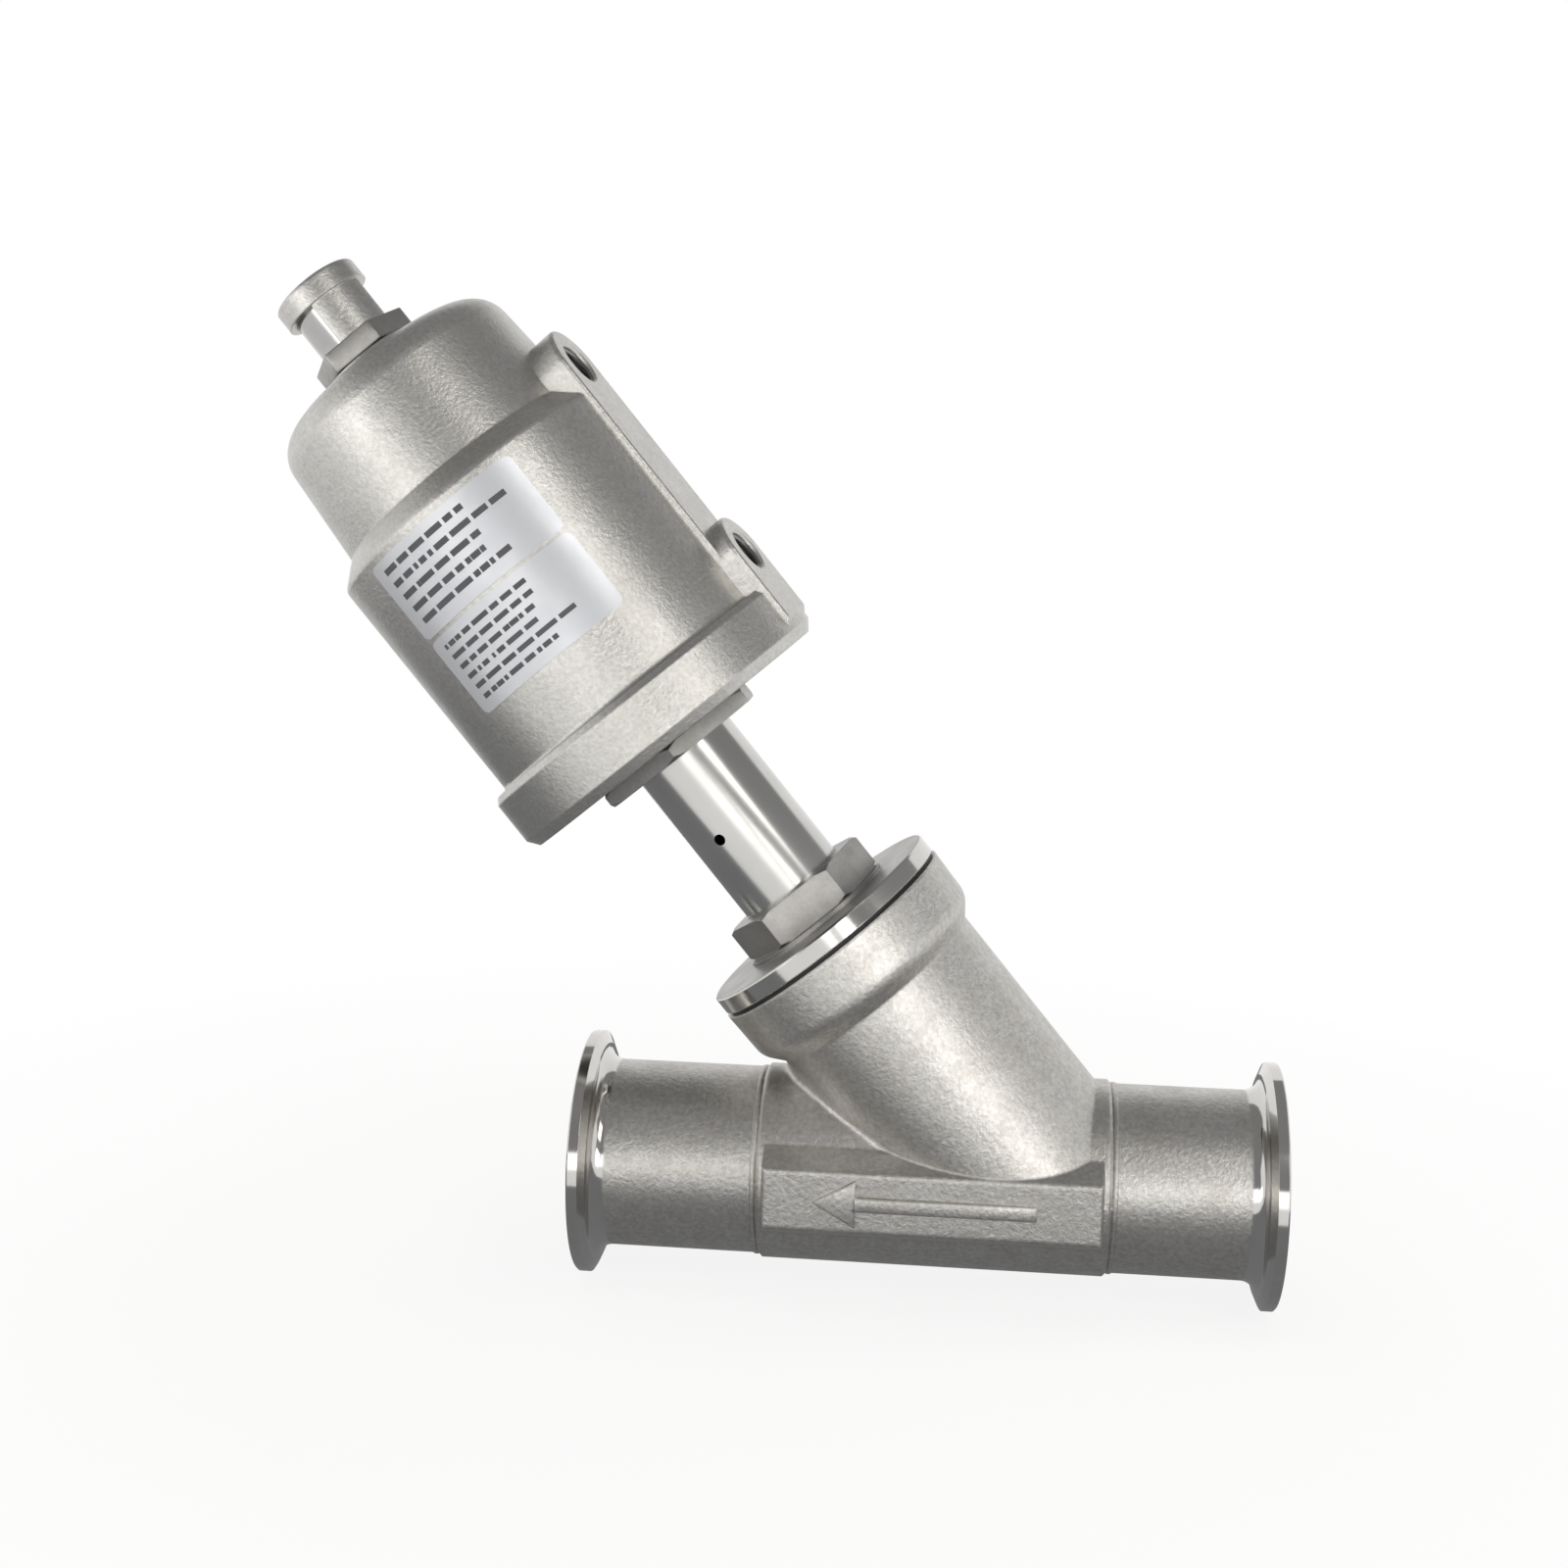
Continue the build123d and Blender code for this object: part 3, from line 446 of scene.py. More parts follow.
# Sintered bronze: brown-gold, slightly open grain.
BRONZE = Finish("sintered bronze", "#B08A55", "#9C7846", roughness=(0.35, 0.5),
                grain=Grain.BLASTED, grain_mm=0.3)
# Turned aluminium: light, with lathe rings.
ALUMINIUM = Finish("aluminium, turned", "#D3D4D6", "#C8C9CB", roughness=(0.25, 0.33),
                   grain=Grain.TURNED, grain_mm=0.35, relief_mm=0.006)
# Drawn spring wire: dark satin grey.
SPRING_WIRE = Finish("drawn spring wire", "#8D8C8A", "#7D7C7A", roughness=(0.28, 0.4))
# Silvered label film under clear laminate: light cool grey with a soft gloss.
LABEL_FILM = Finish("silvered label film", "#D2D4D8", "#CBCDD2", metallic=0.45,
                    roughness=(0.3, 0.36), coat=0.3)
# Screen-printed ink on the film: dark grey.
PRINT_INK = Finish("grey print", "#4A4A4E", "#55555A", metallic=0.0, roughness=(0.45, 0.55))
# Tapped thread: its darker colour is painted shade, standing in for the shade deep in the port
# between the thread flanks.
THREAD_PAINTED_SHADE = Finish("stainless, tapped thread with painted shade", "#8B8A88", "#7B7A78", roughness=(0.25, 0.35))

BODY_FINISH = BandedFinish("cast body with buffed ferrules", CAST_STEEL, FERRULE_STEEL,
                           low_mm=-136.4, high_mm=-6.8)
BONNET_FINISH = BandedFinish("milled bonnet with polished rim", FERRULE_STEEL, MILLED_STEEL,
                             low_mm=64.0, high_mm=68.7, line=Line.STEM, blend_mm=0.15)

# Nodes that aren't named here are milled steel.
NODE_FINISHES: dict[str, Finish | BandedFinish] = {
    "valve_body": BODY_FINISH,
    "actuator_housing": HOUSING_STEEL,
    "bonnet": BONNET_FINISH,
    "neck_tube": POLISHED_STEEL,
    "indicator_cover": HOUSING_STEEL,
    "indicator_sleeve": GROUND_STEEL,
    "body_gasket": RUBBER,
    "base_o_ring": RUBBER,
    "stem_o_ring": RUBBER,
    "cover_o_ring": RUBBER,
    "piston_seal": RUBBER,
    "plug_seal": WHITE_SEAL,
    "guide_band": WHITE_SEAL,
    "packing_ring_1": WHITE_SEAL,
    "packing_ring_2": WHITE_SEAL,
    "packing_ring_3": WHITE_SEAL,
    "guide_bush": BRONZE,
    "base_bush": BRONZE,
    "piston": ALUMINIUM,
    "packing_spring": SPRING_WIRE,
    "retaining_clip": SPRING_WIRE,
    "upper_label": LABEL_FILM,
    "lower_label": LABEL_FILM,
}


class FinishShelf:
    """Makes each material once and hands it out."""

    def __init__(self) -> None:
        """Start with an empty shelf."""
        self._made: dict[str, bpy.types.Material] = {}

    def get(self, finish: Finish | BandedFinish) -> bpy.types.Material:
        """Give the material of a finish.

        Args:
            finish: The finish wanted.

        Returns:
            Its material.
        """
        if finish.name not in self._made:
            self._made[finish.name] = finish.material()
        return self._made[finish.name]


def mesh_object(name: str, bm: bmesh.types.BMesh, material: bpy.types.Material) -> bpy.types.Object:
    """Turn a bmesh into an object in the scene.

    Args:
        name: Object name.
        bm: Finished mesh, in place. It is freed.
        material: Its material.

    Returns:
        The new object.
    """
    mesh = bpy.data.meshes.new(name)
    bm.to_mesh(mesh)
    bm.free()
    mesh.materials.append(material)
    obj = bpy.data.objects.new(name, mesh)
    bpy.context.scene.collection.objects.link(obj)
    return obj


def piece(name: str, bm: bmesh.types.BMesh, material: bpy.types.Material, body: str,
          smooth: float = 40.0) -> bpy.types.Object:
    """Turn a finished bmesh into a named object that rides on a body.

    Args:
        name: Object name.
        bm: Mesh in the row frame. It is freed.
        material: Its material.
        body: CAD body it moves with.
        smooth: Angle in degrees up to which edges are shaded smooth.

    Returns:
        The new object.
    """
    bmesh.ops.recalc_face_normals(bm, faces=bm.faces)
    limit = math.radians(smooth)
    for edge in bm.edges:
        edge.smooth = len(edge.link_faces) == 2 and edge.calc_face_angle(0.0) < limit
    for face in bm.faces:
        face.smooth = True
    obj = mesh_object(name, bm, material)
    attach(obj, body)
    return obj


def spin_ring(bm: bmesh.types.BMesh, axis: tuple[float, float, float], steps: int) -> None:
    """Spin an outline into a closed ring.

    Args:
        bm: Mesh that holds the outline alone.
        axis: Axis of the ring, through the origin.
        steps: Number of steps round it.
    """
    bmesh.ops.spin(bm, geom=[*bm.edges, *bm.verts], cent=ORIGIN, axis=axis, angle=FULL_TURN,
                   steps=steps, use_merge=True)
    bmesh.ops.remove_doubles(bm, verts=bm.verts, dist=MERGE)


def spin_helix(bm: bmesh.types.BMesh, rise_mm: float, turns: int, steps: int) -> None:
    """Sweep a face along a helix round Z and close its ends.

    Args:
        bm: Mesh that holds the face alone.
        rise_mm: Rise over all turns, below zero for a helix that goes down.
        turns: Number of turns.
        steps: Number of steps over all turns.
    """
    bmesh.ops.spin(bm, geom=[*bm.faces, *bm.edges, *bm.verts], cent=ORIGIN, axis=UP,
                   dvec=(0, 0, rise_mm / steps * MM), angle=FULL_TURN * turns, steps=steps)
    bmesh.ops.holes_fill(bm, edges=bm.edges)


class Fitting(ABC):
    """A piece of the valve that is shaped here and not in the CAD model."""

    @abstractmethod
    def build(self, shelf: FinishShelf) -> bpy.types.Object:
        """Build the piece.

        Args:
            shelf: Where its material comes from.

        Returns:
            The new object, riding on its body.
        """


@dataclass
class PortThread(Fitting):
    """Helical thread of a G1/8 air port.

    Args:
        name: Piece name.
        height_mm: Height of the port up the stem line.
        face_mm: Distance of its mouth from the stem line.
        turn_deg: Direction of the port round the stem line.
        bore_mm: Radius of the hole.
        depth_mm: Thread depth.
        pitch_mm: Thread pitch.
        flank: Half-width of a thread at its root, as a share of the pitch.
        start_mm: Depth of the first turn under the mouth.
        turns: Number of turns.
        steps: Steps in a turn.
    """

    name: str
    height_mm: float
    face_mm: float
    turn_deg: float = -7.5
    bore_mm: float = 4.39
    depth_mm: float = 0.5
    pitch_mm: float = 0.907
    flank: float = 0.42
    start_mm: float = 0.9
    turns: int = 5
    steps: int = 28

    def build(self, shelf: FinishShelf) -> bpy.types.Object:
        """Build the thread in its port.

        Args:
            shelf: Where its material comes from.

        Returns:
            The new object, riding on the actuator.
        """
        bm = bmesh.new()
        half = self.pitch_mm * self.flank
        profile = [(self.bore_mm, -half), (self.bore_mm - self.depth_mm, 0.0), (self.bore_mm, half)]
        bm.faces.new([bm.verts.new((r * MM, 0.0, z * MM)) for r, z in profile])
        spin_helix(bm, -self.pitch_mm * self.turns, self.turns, self.steps * self.turns)
        place = (STEM_FRAME @ turned(self.turn_deg, "Z") @ moved(self.face_mm, 0, self.height_mm)
                 @ turned(90, "Y") @ moved(0, 0, -self.start_mm))
        bmesh.ops.transform(bm, matrix=place, verts=bm.verts)
        # The thread's darker colour is painted shade of the port's recess.
        return piece(self.name, bm, shelf.get(THREAD_PAINTED_SHADE), "actuator", smooth=20)


@dataclass
class ClosingSpring(Fitting):
    """Round-wire closing spring between its two seats.

    Args:
        name: Piece name.
        node: CAD node it stands for.
        radius_mm: Radius of the coil's centre line.
        wire_mm: Wire radius.
        turns: Number of coils.
        low_mm: Height of its lower seat.
        high_mm: Height of its upper seat.
        seat_gap_mm: Gap between the wire and each seat.
        stroke_mm: How much it shortens. Not used.
        sides: Sides of the wire's section.
        steps: Steps in a turn.
    """

    name: str
    node: str
    radius_mm: float
    wire_mm: float
    turns: int
    low_mm: float = 145.5
    high_mm: float = 207.0
    seat_gap_mm: float = 0.05
    stroke_mm: float = 12.0
    sides: int = 12
    steps: int = 32

    def build(self, shelf: FinishShelf) -> bpy.types.Object:
        """Build the spring and hide the CAD node it stands for.

        Args:
            shelf: Where its material comes from.

        Returns:
            The new object, riding on the actuator.
        """
        bm = bmesh.new()
        section = bmesh.ops.create_circle(bm, cap_ends=True, radius=self.wire_mm * MM,
                                          segments=self.sides)
        start = self.low_mm + self.wire_mm + self.seat_gap_mm
        bmesh.ops.transform(bm, matrix=moved(self.radius_mm, 0, start) @ turned(90, "X"),
                            verts=section["verts"])
        length = self.high_mm - self.low_mm
        rise = length - 2 * self.wire_mm - 2 * self.seat_gap_mm
        spin_helix(bm, rise, self.turns, self.steps * self.turns)
        bmesh.ops.transform(bm, matrix=STEM_FRAME, verts=bm.verts)
        obj = piece(self.name, bm, shelf.get(SPRING_WIRE), "actuator")
        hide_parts(self.node)
        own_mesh(obj)
        return obj


@dataclass
class FlowArrow(Fitting):
    """Raised cast arrow on a name pad, pointing the way the fluid leaves.

    Args:
        name: Piece name.
        side: Flank it is on.
        centre_mm: Its middle along the pipe line, from the stem crossing.
        pad_mm: Distance of the pad's face from the pipe line.
        length_mm: Length over all.
        head_mm: Length of the head.
        bar_mm: Height of the bar.
        proud_mm: How far it stands out.
        root_mm: How far it reaches into the pad.
        lap_mm: How far the bar reaches into the head.
        round_mm: Width of its rounded edges.
    """

    name: str
    side: Side
    centre_mm: float = -20.0
    pad_mm: float = 24.3
    length_mm: float = 44.0
    head_mm: float = 8.6
    bar_mm: float = 3.0
    proud_mm: float = 0.9
    root_mm: float = 0.4
    lap_mm: float = 1.0
    round_mm: float = 0.18

    def build(self, shelf: FinishShelf) -> bpy.types.Object:
        """Build the arrow on its pad.

        Args:
            shelf: Where its material comes from.

        Returns:
            The new object, riding on the fixed valve.
        """
        bm = bmesh.new()
        depth = self.proud_mm + self.root_mm
        length = self.length_mm - self.head_mm + self.lap_mm
        bar = bmesh.ops.create_cube(bm, size=1.0)
        size = Matrix.Diagonal((length * MM, depth * MM, self.bar_mm * MM, 1))
        bmesh.ops.transform(bm, matrix=moved(self.head_mm / 2, 0, 0) @ size, verts=bar["verts"])
        # A triangle is one and a half times as long as the radius to its corners.
        radius = self.head_mm / 1.5
        head = bmesh.ops.create_cone(bm, cap_ends=True, segments=3, radius1=radius * MM,
                                     radius2=radius * MM, depth=depth * MM)
        tip = moved(-(self.length_mm / 2 - radius), 0, 0) @ turned(90, "X") @ turned(90, "Z")
        bmesh.ops.transform(bm, matrix=tip, verts=head["verts"])
        bmesh.ops.bevel(bm, geom=[*bm.edges], offset=self.round_mm * MM, offset_type="OFFSET",
                        segments=2, profile=0.5, affect="EDGES", material=-1, clamp_overlap=True)
        out = self.side.value * (self.pad_mm + self.proud_mm - depth / 2)
        bmesh.ops.transform(bm, matrix=moved(self.centre_mm - INLET_REACH, out, 0), verts=bm.verts)
        return piece(self.name, bm, shelf.get(CAST_STEEL), "fixed_valve")


@dataclass
class WeldBead(Fitting):
    """Orbital weld ring where a pipe end meets the cast belly.

    Args:
        name: Piece name.
        x_mm: Place along the pipe line, from the stem crossing.
        pipe_mm: Pipe radius.
        bead_mm: Half-width of the bead.
        proud_mm: Height of the bead.
        sides: Sides of the bead's section.
        steps: Steps round the pipe.
    """

    name: str
    x_mm: float
    pipe_mm: float = 19.4
    bead_mm: float = 0.6
    proud_mm: float = 0.28
    sides: int = 10
    steps: int = 96

    def build(self, shelf: FinishShelf) -> bpy.types.Object:
        """Build the bead.

        Args:
            shelf: Where its material comes from.

        Returns:
            The new object, riding on the fixed valve.
        """
        bm = bmesh.new()
        section = bmesh.ops.create_circle(bm, cap_ends=False, radius=1.0, segments=self.sides)
        place = (moved(self.x_mm - INLET_REACH, 0, self.pipe_mm) @ turned(90, "X")
                 @ Matrix.Diagonal((self.bead_mm * MM, self.proud_mm * MM, MM, 1)))
        bmesh.ops.transform(bm, matrix=place, verts=section["verts"])
        spin_ring(bm, (1, 0, 0), self.steps)
        return piece(self.name, bm, shelf.get(CAST_STEEL), "fixed_valve")


@dataclass
class CoverNut(Fitting):
    """Hexagonal foot of the indicator guard, with a round bore.

    Args:
        name: Piece name.
        low_mm: Height of its underside up the stem line.
        high_mm: Height of its top.
        corner_mm: Radius to its corners.
        bore_mm: Radius of its bore.
        turn_deg: Direction of one corner round the stem line.
        break_mm: Width of its broken outer edges.
        sharp: Bend from which an edge is broken, radians.
        steps: Steps round it, a multiple of 12 so that one falls on each corner.
    """

    name: str
    low_mm: float = 214.25
    high_mm: float = 218.6
    corner_mm: float = 11.2
    bore_mm: float = 9.2
    turn_deg: float = -57.0
    break_mm: float = 0.3
    sharp: float = 0.5
    steps: int = 72

    def ring(self) -> bmesh.types.BMesh:
        """Spin the rectangular outline into a round ring.

        Returns:
            The ring, upright on the stem line before it is turned to the hexagon.
        """
        bm = bmesh.new()
        bmesh.ops.create_grid(bm, x_segments=1, y_segments=1, size=0.5)
        bmesh.ops.delete(bm, geom=bm.faces[:], context="FACES_ONLY")
        middle = moved((self.bore_mm + self.corner_mm) / 2, 0, (self.low_mm + self.high_mm) / 2)
        size = Matrix.Diagonal(((self.corner_mm - self.bore_mm) * MM,
                                (self.high_mm - self.low_mm) * MM, MM, 1))
        bmesh.ops.transform(bm, matrix=middle @ turned(90, "X") @ size, verts=bm.verts)
        spin_ring(bm, UP, self.steps)
        return bm

    def build(self, shelf: FinishShelf) -> bpy.types.Object:
        """Press the ring's outside to a hexagon and break its outer edges.

        Args:
            shelf: Where its material comes from.

        Returns:
            The new object, riding on the actuator.
        """
        bm = self.ring()
        flat = self.corner_mm * MM * math.cos(math.radians(30.0))
        outside = (self.bore_mm + 0.1) * MM
        for vert in bm.verts:
            radius = vert.co.xy.length
            if radius > outside:
                turn = math.degrees(math.atan2(vert.co.y, vert.co.x)) % 60.0 - 30.0
                vert.co.xy *= flat / math.cos(math.radians(turn)) / radius
        bmesh.ops.recalc_face_normals(bm, faces=bm.faces)
        corners = [edge for edge in bm.edges if edge.calc_face_angle(0.0) > self.sharp
                   and min(vert.co.xy.length for vert in edge.verts) > outside]
        bmesh.ops.bevel(bm, geom=corners, offset=self.break_mm * MM, offset_type="OFFSET",
                        segments=3, profile=0.5, affect="EDGES", material=-1, clamp_overlap=True)
        bmesh.ops.transform(bm, matrix=STEM_FRAME @ turned(self.turn_deg, "Z"), verts=bm.verts)
        return piece(self.name, bm, shelf.get(MILLED_STEEL), "actuator")


@dataclass
class LabelPrint(Fitting):
    """Plain printed bars on a wrapped label, with no readable text.

    Args:
        name: Piece name.
        low_mm: Height of the label's lower edge.
        high_mm: Height of its upper edge.
        rows: Number of printed rows.
        seed: Seed of the bar lengths.
        start_deg: Direction of its left edge round the stem line.
        sweep_deg: Angle it covers.
        radius_mm: Outer radius of the label.
        ink_mm: Thickness of the print.
        margin_deg: Bare angle at the left and right.
        top_mm: Bare height above the first row.
        bare_mm: Height of the label that no row takes.
        fill: Height of a bar, as a share of the distance between rows.
        row_fill: Shortest and longest row, as a share of the width.
        bar_deg: Shortest and longest bar.
        space_deg: Gap between two bars.
        least_deg: A row ends when less than this is left of it.
    """

    name: str
    low_mm: float
    high_mm: float
    rows: int
    seed: int
    start_deg: float = -128.0
    sweep_deg: float = 65.0
    radius_mm: float = 33.70
    ink_mm: float = 0.02
    margin_deg: float = 5.0
    top_mm: float = 1.9
    bare_mm: float = 3.0
    fill: float = 0.42
    row_fill: tuple[float, float] = (0.62, 1.0)
    bar_deg: tuple[float, float] = (3.0, 9.0)
    space_deg: float = 1.3
    least_deg: float = 2.5

    def bar(self, bm: bmesh.types.BMesh, start: float, end: float, low: float, high: float) -> None:
        """Add one curved bar.

        Args:
            bm: Mesh to add to.
            start: Direction of its left end, degrees.
            end: Direction of its right end, degrees.
            low: Height of its lower edge, mm.
            high: Height of its upper edge, mm.
        """
        outer = self.radius_mm + self.ink_mm
        profile = [(self.radius_mm, low), (self.radius_mm, high), (outer, high), (outer, low)]
        verts = [bm.verts.new((r * MM, 0, z * MM)) for r, z in profile]
        face = bm.faces.new(verts)
        bmesh.ops.rotate(bm, verts=verts, cent=ORIGIN, matrix=turned(start, "Z").to_3x3())
        bmesh.ops.spin(bm, geom=[face, *face.edges, *face.verts], cent=ORIGIN, axis=UP,
                       angle=math.radians(end - start), steps=max(2, int((end - start) / 4)))

    def build(self, shelf: FinishShelf) -> bpy.types.Object:
        """Build all bars of the label as one piece.

        Args:
            shelf: Where its material comes from.

        Returns:
            The new object, riding on the actuator.
        """
        bm = bmesh.new()
        rng = random.Random(self.seed)
        left = self.start_deg + self.margin_deg
        right = self.start_deg + self.sweep_deg - self.margin_deg
        spacing = (self.high_mm - self.low_mm - self.bare_mm) / self.rows
        for row in range(self.rows):
            top = self.high_mm - self.top_mm - row * spacing
            at = left
            limit = left + (right - left) * rng.uniform(*self.row_fill)
            while at < limit - self.least_deg:
                end = min(at + rng.uniform(*self.bar_deg), limit)
                self.bar(bm, at, end, top - spacing * self.fill, top)
                at = end + self.space_deg
        bmesh.ops.holes_fill(bm, edges=bm.edges)
        bmesh.ops.transform(bm, matrix=STEM_FRAME, verts=bm.verts)
        return piece(self.name, bm, shelf.get(PRINT_INK), "actuator")


@dataclass
class DressedNodes:
    """Gives every CAD node its material.

    Args:
        finishes: Finish of each node that isn't plain milled steel.
    """

    finishes: dict[str, Finish | BandedFinish] = field(default_factory=lambda: dict(NODE_FINISHES))

    def build(self, shelf: FinishShelf) -> None:
        """Assign the materials.

        Args:
            shelf: Where they come from.
        """
        for name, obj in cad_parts.items():
            material = shelf.get(self.finishes.get(name, MILLED_STEEL))
            obj.data.materials.clear()
            obj.data.materials.append(material)
            LOG.info("dressed %s in %s", name, material.name)


@dataclass
class CameraRig:
    """Camera at the viewing point.

    Args:
        place_mm: Viewing point in the row frame.
        yaw: Turn about Z, degrees.
        pitch: Tilt, degrees.
        roll: Roll, degrees.
        lens_mm: Focal length.
        sensor_mm: Width of the sensor.
        clip: Nearest and farthest distance it sees, metres.
    """

    place_mm: tuple[float, float, float] = (-61.55, -426.57, 148.08)
    yaw: float = 5.58
    pitch: float = -9.01
    roll: float = -1.25
    lens_mm: float = 48.6
    sensor_mm: float = 36.0
    clip: tuple[float, float] = (0.01, 50.0)

    def build(self) -> bpy.types.Object:
        """Build the camera and make it the scene's camera.

        Returns:
            The camera object.
        """
        data = bpy.data.cameras.new("camera")
        data.sensor_width = self.sensor_mm
        data.lens = self.lens_mm
        data.clip_start, data.clip_end = self.clip
        camera = bpy.data.objects.new("camera", data)
        turn = (turned(self.yaw, "Z") @ turned(self.pitch, "X") @ turned(self.roll, "Y")
                @ turned(90, "X"))
        camera.matrix_world = Matrix.Translation(Vector(self.place_mm) * MM) @ turn
        bpy.context.scene.collection.objects.link(camera)
        bpy.context.scene.camera = camera
        return camera


@dataclass
class Softbox:
    """Rectangular soft lamp aimed at the object.

    Args:
        name: Lamp name.
        place: Where it stands, metres.
        width: Width, metres.
        height: Height, metres.
        watts: Power.
        mirrored: Whether shiny surfaces show it.
    """

    name: str
    place: tuple[float, float, float]
    width: float
    height: float
    watts: float
    mirrored: bool = True

    def build(self, target: Vector) -> bpy.types.Object:
        """Build the lamp.

        Args:
            target: Point it is aimed at, metres.

        Returns:
            The lamp object.
        """
        data = bpy.data.lights.new(self.name, "AREA")
        data.shape = "RECTANGLE"
        data.size = self.width
        data.size_y = self.height
        data.energy = self.watts
        data.color = LAMP_WHITE
        lamp = bpy.data.objects.new(self.name, data)
        lamp.location = self.place
        lamp.rotation_euler = (target - Vector(self.place)).to_track_quat("-Z", "Y").to_euler()
        lamp.visible_glossy = self.mirrored
        bpy.context.scene.collection.objects.link(lamp)
        return lamp


def staged_sheet(name: str, stand: Matrix, material: bpy.types.Material) -> bpy.types.Object:
    """Build a flat sheet that belongs to the studio and not to the object.

    Args:
        name: Object name.
        stand: Size and place, from a level square of one metre at the origin.
        material: Its material.

    Returns:
        The new object.
    """
    bm = bmesh.new()
    bmesh.ops.create_grid(bm, x_segments=1, y_segments=1, size=0.5)
    bmesh.ops.transform(bm, matrix=stand, verts=bm.verts)
    obj = mesh_object(name, bm, material)
    return obj


@dataclass
class Card:
    """Flat grey card that only shiny surfaces show.

    Args:
        name: Card name.
        place: Its middle, metres.
        facing: Direction its face looks.
        width: Width, metres.
        height: Height, metres.
        shade: Seen grey as sRGB hex.
    """

    name: str
    place: tuple[float, float, float]
    facing: tuple[float, float, float]
    width: float
    height: float
    shade: str

    def surface(self, tree: bpy.types.NodeTree) -> bpy.types.NodeSocket:
        """Build the even grey surface in a tree.

        Args:
            tree: Node tree of the material.

        Returns:
            The shader output.
        """
        return add_node(tree, "ShaderNodeEmission",
                        {"Color": linear(self.shade), "Strength": 1.0}).outputs[0]

    def build(self) -> bpy.types.Object:
        """Build the card, hidden from the camera, from shadows and from diffuse light.

        Returns:
            The card object.
        """
        aim = Vector(self.facing).to_track_quat("Z", "Y").to_matrix().to_4x4()
        size = Matrix.Diagonal((self.width, self.height, 1, 1))
        stand = Matrix.Translation(self.place) @ aim @ size
        obj = staged_sheet(self.name, stand, new_material(self.name, self.surface))
        obj.visible_camera = False
        obj.visible_shadow = False
        obj.visible_diffuse = False
        return obj


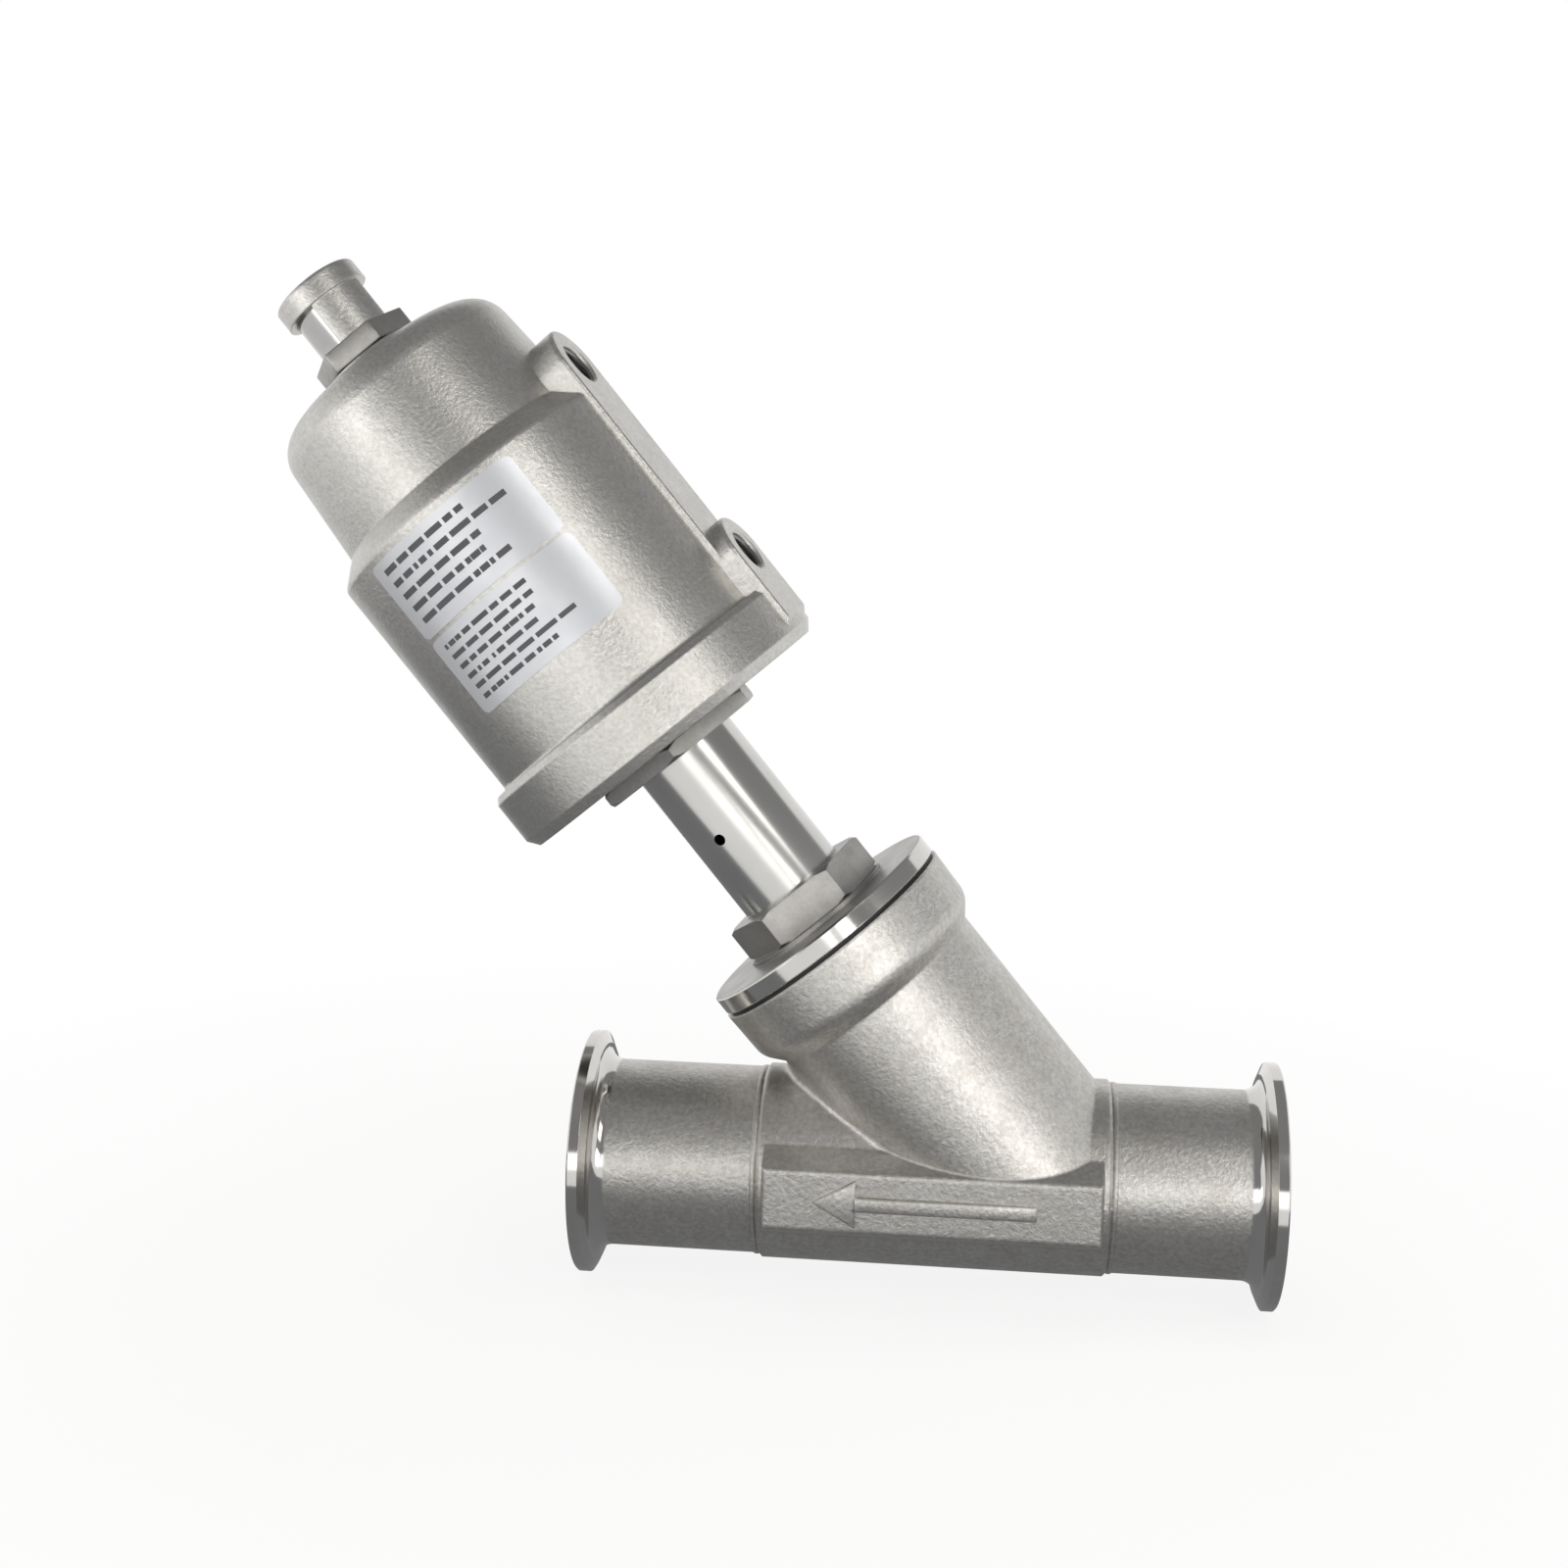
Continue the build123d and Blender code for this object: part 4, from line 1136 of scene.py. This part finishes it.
@dataclass
class Studio:
    """Pale floor, white surroundings, soft lamps and grey cards.

    Args:
        floor_z_mm: Height of the floor.
        floor_size: Side of the floor, metres.
        near_white: How white the floor is made right under the object.
        fade: Distances from the object over which the floor goes to full white, metres.
        world_level: Brightness of the surroundings as the object sees them.
        world_grade: Share of that brightness at the low and the high end of the grading.
        world_heights: Upward part of a direction at the low and the high end of the grading.
        target: Point the lamps are aimed at, metres.
        lamps: The soft lamps.
        cards: Grey cards that shape the reflections; the one on the floor is painted shade of the
            floor under the object.
    """

    floor_z_mm: float = -25.3
    floor_size: float = 6.0
    near_white: float = 0.86
    fade: tuple[float, float] = (0.12, 0.30)
    world_level: float = 0.45
    world_grade: tuple[float, float] = (0.75, 1.35)
    world_heights: tuple[float, float] = (-0.2, 0.9)
    target: tuple[float, float, float] = (-0.105, 0.0, 0.06)
    lamps: list[Softbox] = field(default_factory=lambda: [
        Softbox("key softbox", (0.50, -0.89, 0.80), 0.50, 0.42, 2.1),
        Softbox("low front strip", (-0.25, -1.15, 0.14), 0.9, 0.34, 0.85),
        Softbox("low right softbox", (0.58, -1.05, 0.15), 0.6, 0.36, 2.6),
        Softbox("low left softbox", (-0.74, -0.72, 0.07), 0.5, 0.22, 0.75),
        Softbox("overhead fill", (-0.15, 0.05, 1.15), 1.1, 0.9, 4.0, mirrored=False),
    ])
    cards: list[Card] = field(default_factory=lambda: [
        Card("grey ceiling", (0.0, -0.2, 1.05), (0.0, 0.0, -1.0), 3.2, 2.4, "#8D8D8E"),
        Card("grey front wall", (0.0, -1.30, 0.70), (0.0, 1.0, 0.0), 3.2, 0.72, "#8D8D8E"),
        # Painted shade: a grey sheet just above the floor that only reflections see, standing in
        # for the floor shaded by the object.
        Card("painted floor shade", (-0.17, 0.06, -0.0245), (0.0, 0.0, 1.0), 0.60, 0.34, "#808183"),
    ])

    def paper(self, tree: bpy.types.NodeTree) -> bpy.types.NodeSocket:
        """Build the floor's surface: white to the camera, with the object's soft shadow kept.

        Args:
            tree: Node tree of the material.

        Returns:
            The shader output.
        """
        paper = add_node(tree, "ShaderNodeBsdfDiffuse", {"Color": linear("#F4F3F1")})
        white = add_node(tree, "ShaderNodeEmission", {"Color": linear("#FFFFFF"), "Strength": 1.0})
        place = add_node(tree, "ShaderNodeTexCoord")
        under = (self.target[0], 0.0, self.floor_z_mm * MM)
        far = add_node(tree, "ShaderNodeVectorMath", {0: place.outputs["Object"], 1: under},
                       operation="DISTANCE")
        fade = add_node(
            tree, "ShaderNodeMapRange",
            {"Value": far.outputs["Value"], "From Min": self.fade[0], "From Max": self.fade[1],
             "To Min": self.near_white, "To Max": 1.0},
        )
        seen = add_node(tree, "ShaderNodeMath", {0: fade.outputs["Result"], 1: showing_rays(tree)},
                        operation="MULTIPLY")
        mixed = add_node(tree, "ShaderNodeMixShader",
                         {0: seen.outputs[0], 1: paper.outputs[0], 2: white.outputs[0]})
        return mixed.outputs[0]

    def floor(self) -> bpy.types.Object:
        """Build the floor.

        Returns:
            The floor object.
        """
        size = Matrix.Diagonal((self.floor_size, self.floor_size, 1, 1))
        stand = moved(0, 0, self.floor_z_mm) @ size
        return staged_sheet("floor", stand, new_material("pale floor", self.paper))

    def surroundings(self) -> None:
        """Set a world that is white to the camera and graded grey to the object."""
        world = bpy.data.worlds.new("studio")
        bpy.context.scene.world = world
        world.use_nodes = True
        tree = world.node_tree
        tree.nodes.clear()
        way = add_node(tree, "ShaderNodeTexCoord")
        axes = add_node(tree, "ShaderNodeSeparateXYZ", {"Vector": way.outputs["Generated"]})
        grade = add_node(
            tree, "ShaderNodeMapRange",
            {"Value": axes.outputs["Z"],
             "From Min": self.world_heights[0], "From Max": self.world_heights[1],
             "To Min": self.world_level * self.world_grade[0],
             "To Max": self.world_level * self.world_grade[1]},
        )
        inside = add_node(tree, "ShaderNodeBackground",
                          {"Color": linear("#F8F7F5"), "Strength": grade.outputs["Result"]})
        white = add_node(tree, "ShaderNodeBackground",
                         {"Color": linear("#FFFFFF"), "Strength": 1.0})
        mixed = add_node(tree, "ShaderNodeMixShader",
                         {0: showing_rays(tree), 1: inside.outputs[0], 2: white.outputs[0]})
        add_node(tree, "ShaderNodeOutputWorld", {"Surface": mixed.outputs[0]})

    def build(self) -> None:
        """Build floor, cards, lamps and surroundings."""
        self.floor()
        for card in self.cards:
            card.build()
        for lamp in self.lamps:
            lamp.build(Vector(self.target))
        self.surroundings()


def fittings() -> list[Fitting]:
    """List the pieces that are shaped here, in the order they are built."""
    return [
        LabelPrint("upper_label_print", 160.4, 177.9, rows=5, seed=3),
        LabelPrint("lower_label_print", 142.3, 159.6, rows=6, seed=8),
        PortThread("lower_port_thread", 136.4, 37.1),
        PortThread("upper_port_thread", 186.0, 33.8),
        ClosingSpring("outer_closing_spring", "outer_spring", 20.4, 2.0, 5),
        ClosingSpring("inner_closing_spring", "inner_spring", 13.4, 1.3, 7),
        FlowArrow("front_flow_arrow", Side.FRONT),
        FlowArrow("back_flow_arrow", Side.BACK),
        CoverNut("guard_nut"),
        WeldBead("left_weld", -54.7),
        WeldBead("right_weld", 18.0),
    ]


def main() -> None:
    """Build the scene."""
    logging.basicConfig(level=logging.INFO, format="%(name)s: %(message)s")
    bpy.context.scene.view_settings.view_transform = "Standard"
    shelf = FinishShelf()
    DressedNodes().build(shelf)
    for fitting in fittings():
        made = fitting.build(shelf)
        LOG.info("built %s, %d faces", made.name, len(made.data.polygons))
    Studio().build()
    CameraRig().build()
    LOG.info("scene built with %d materials", len(bpy.data.materials))


if __name__ == "__main__":
    main()
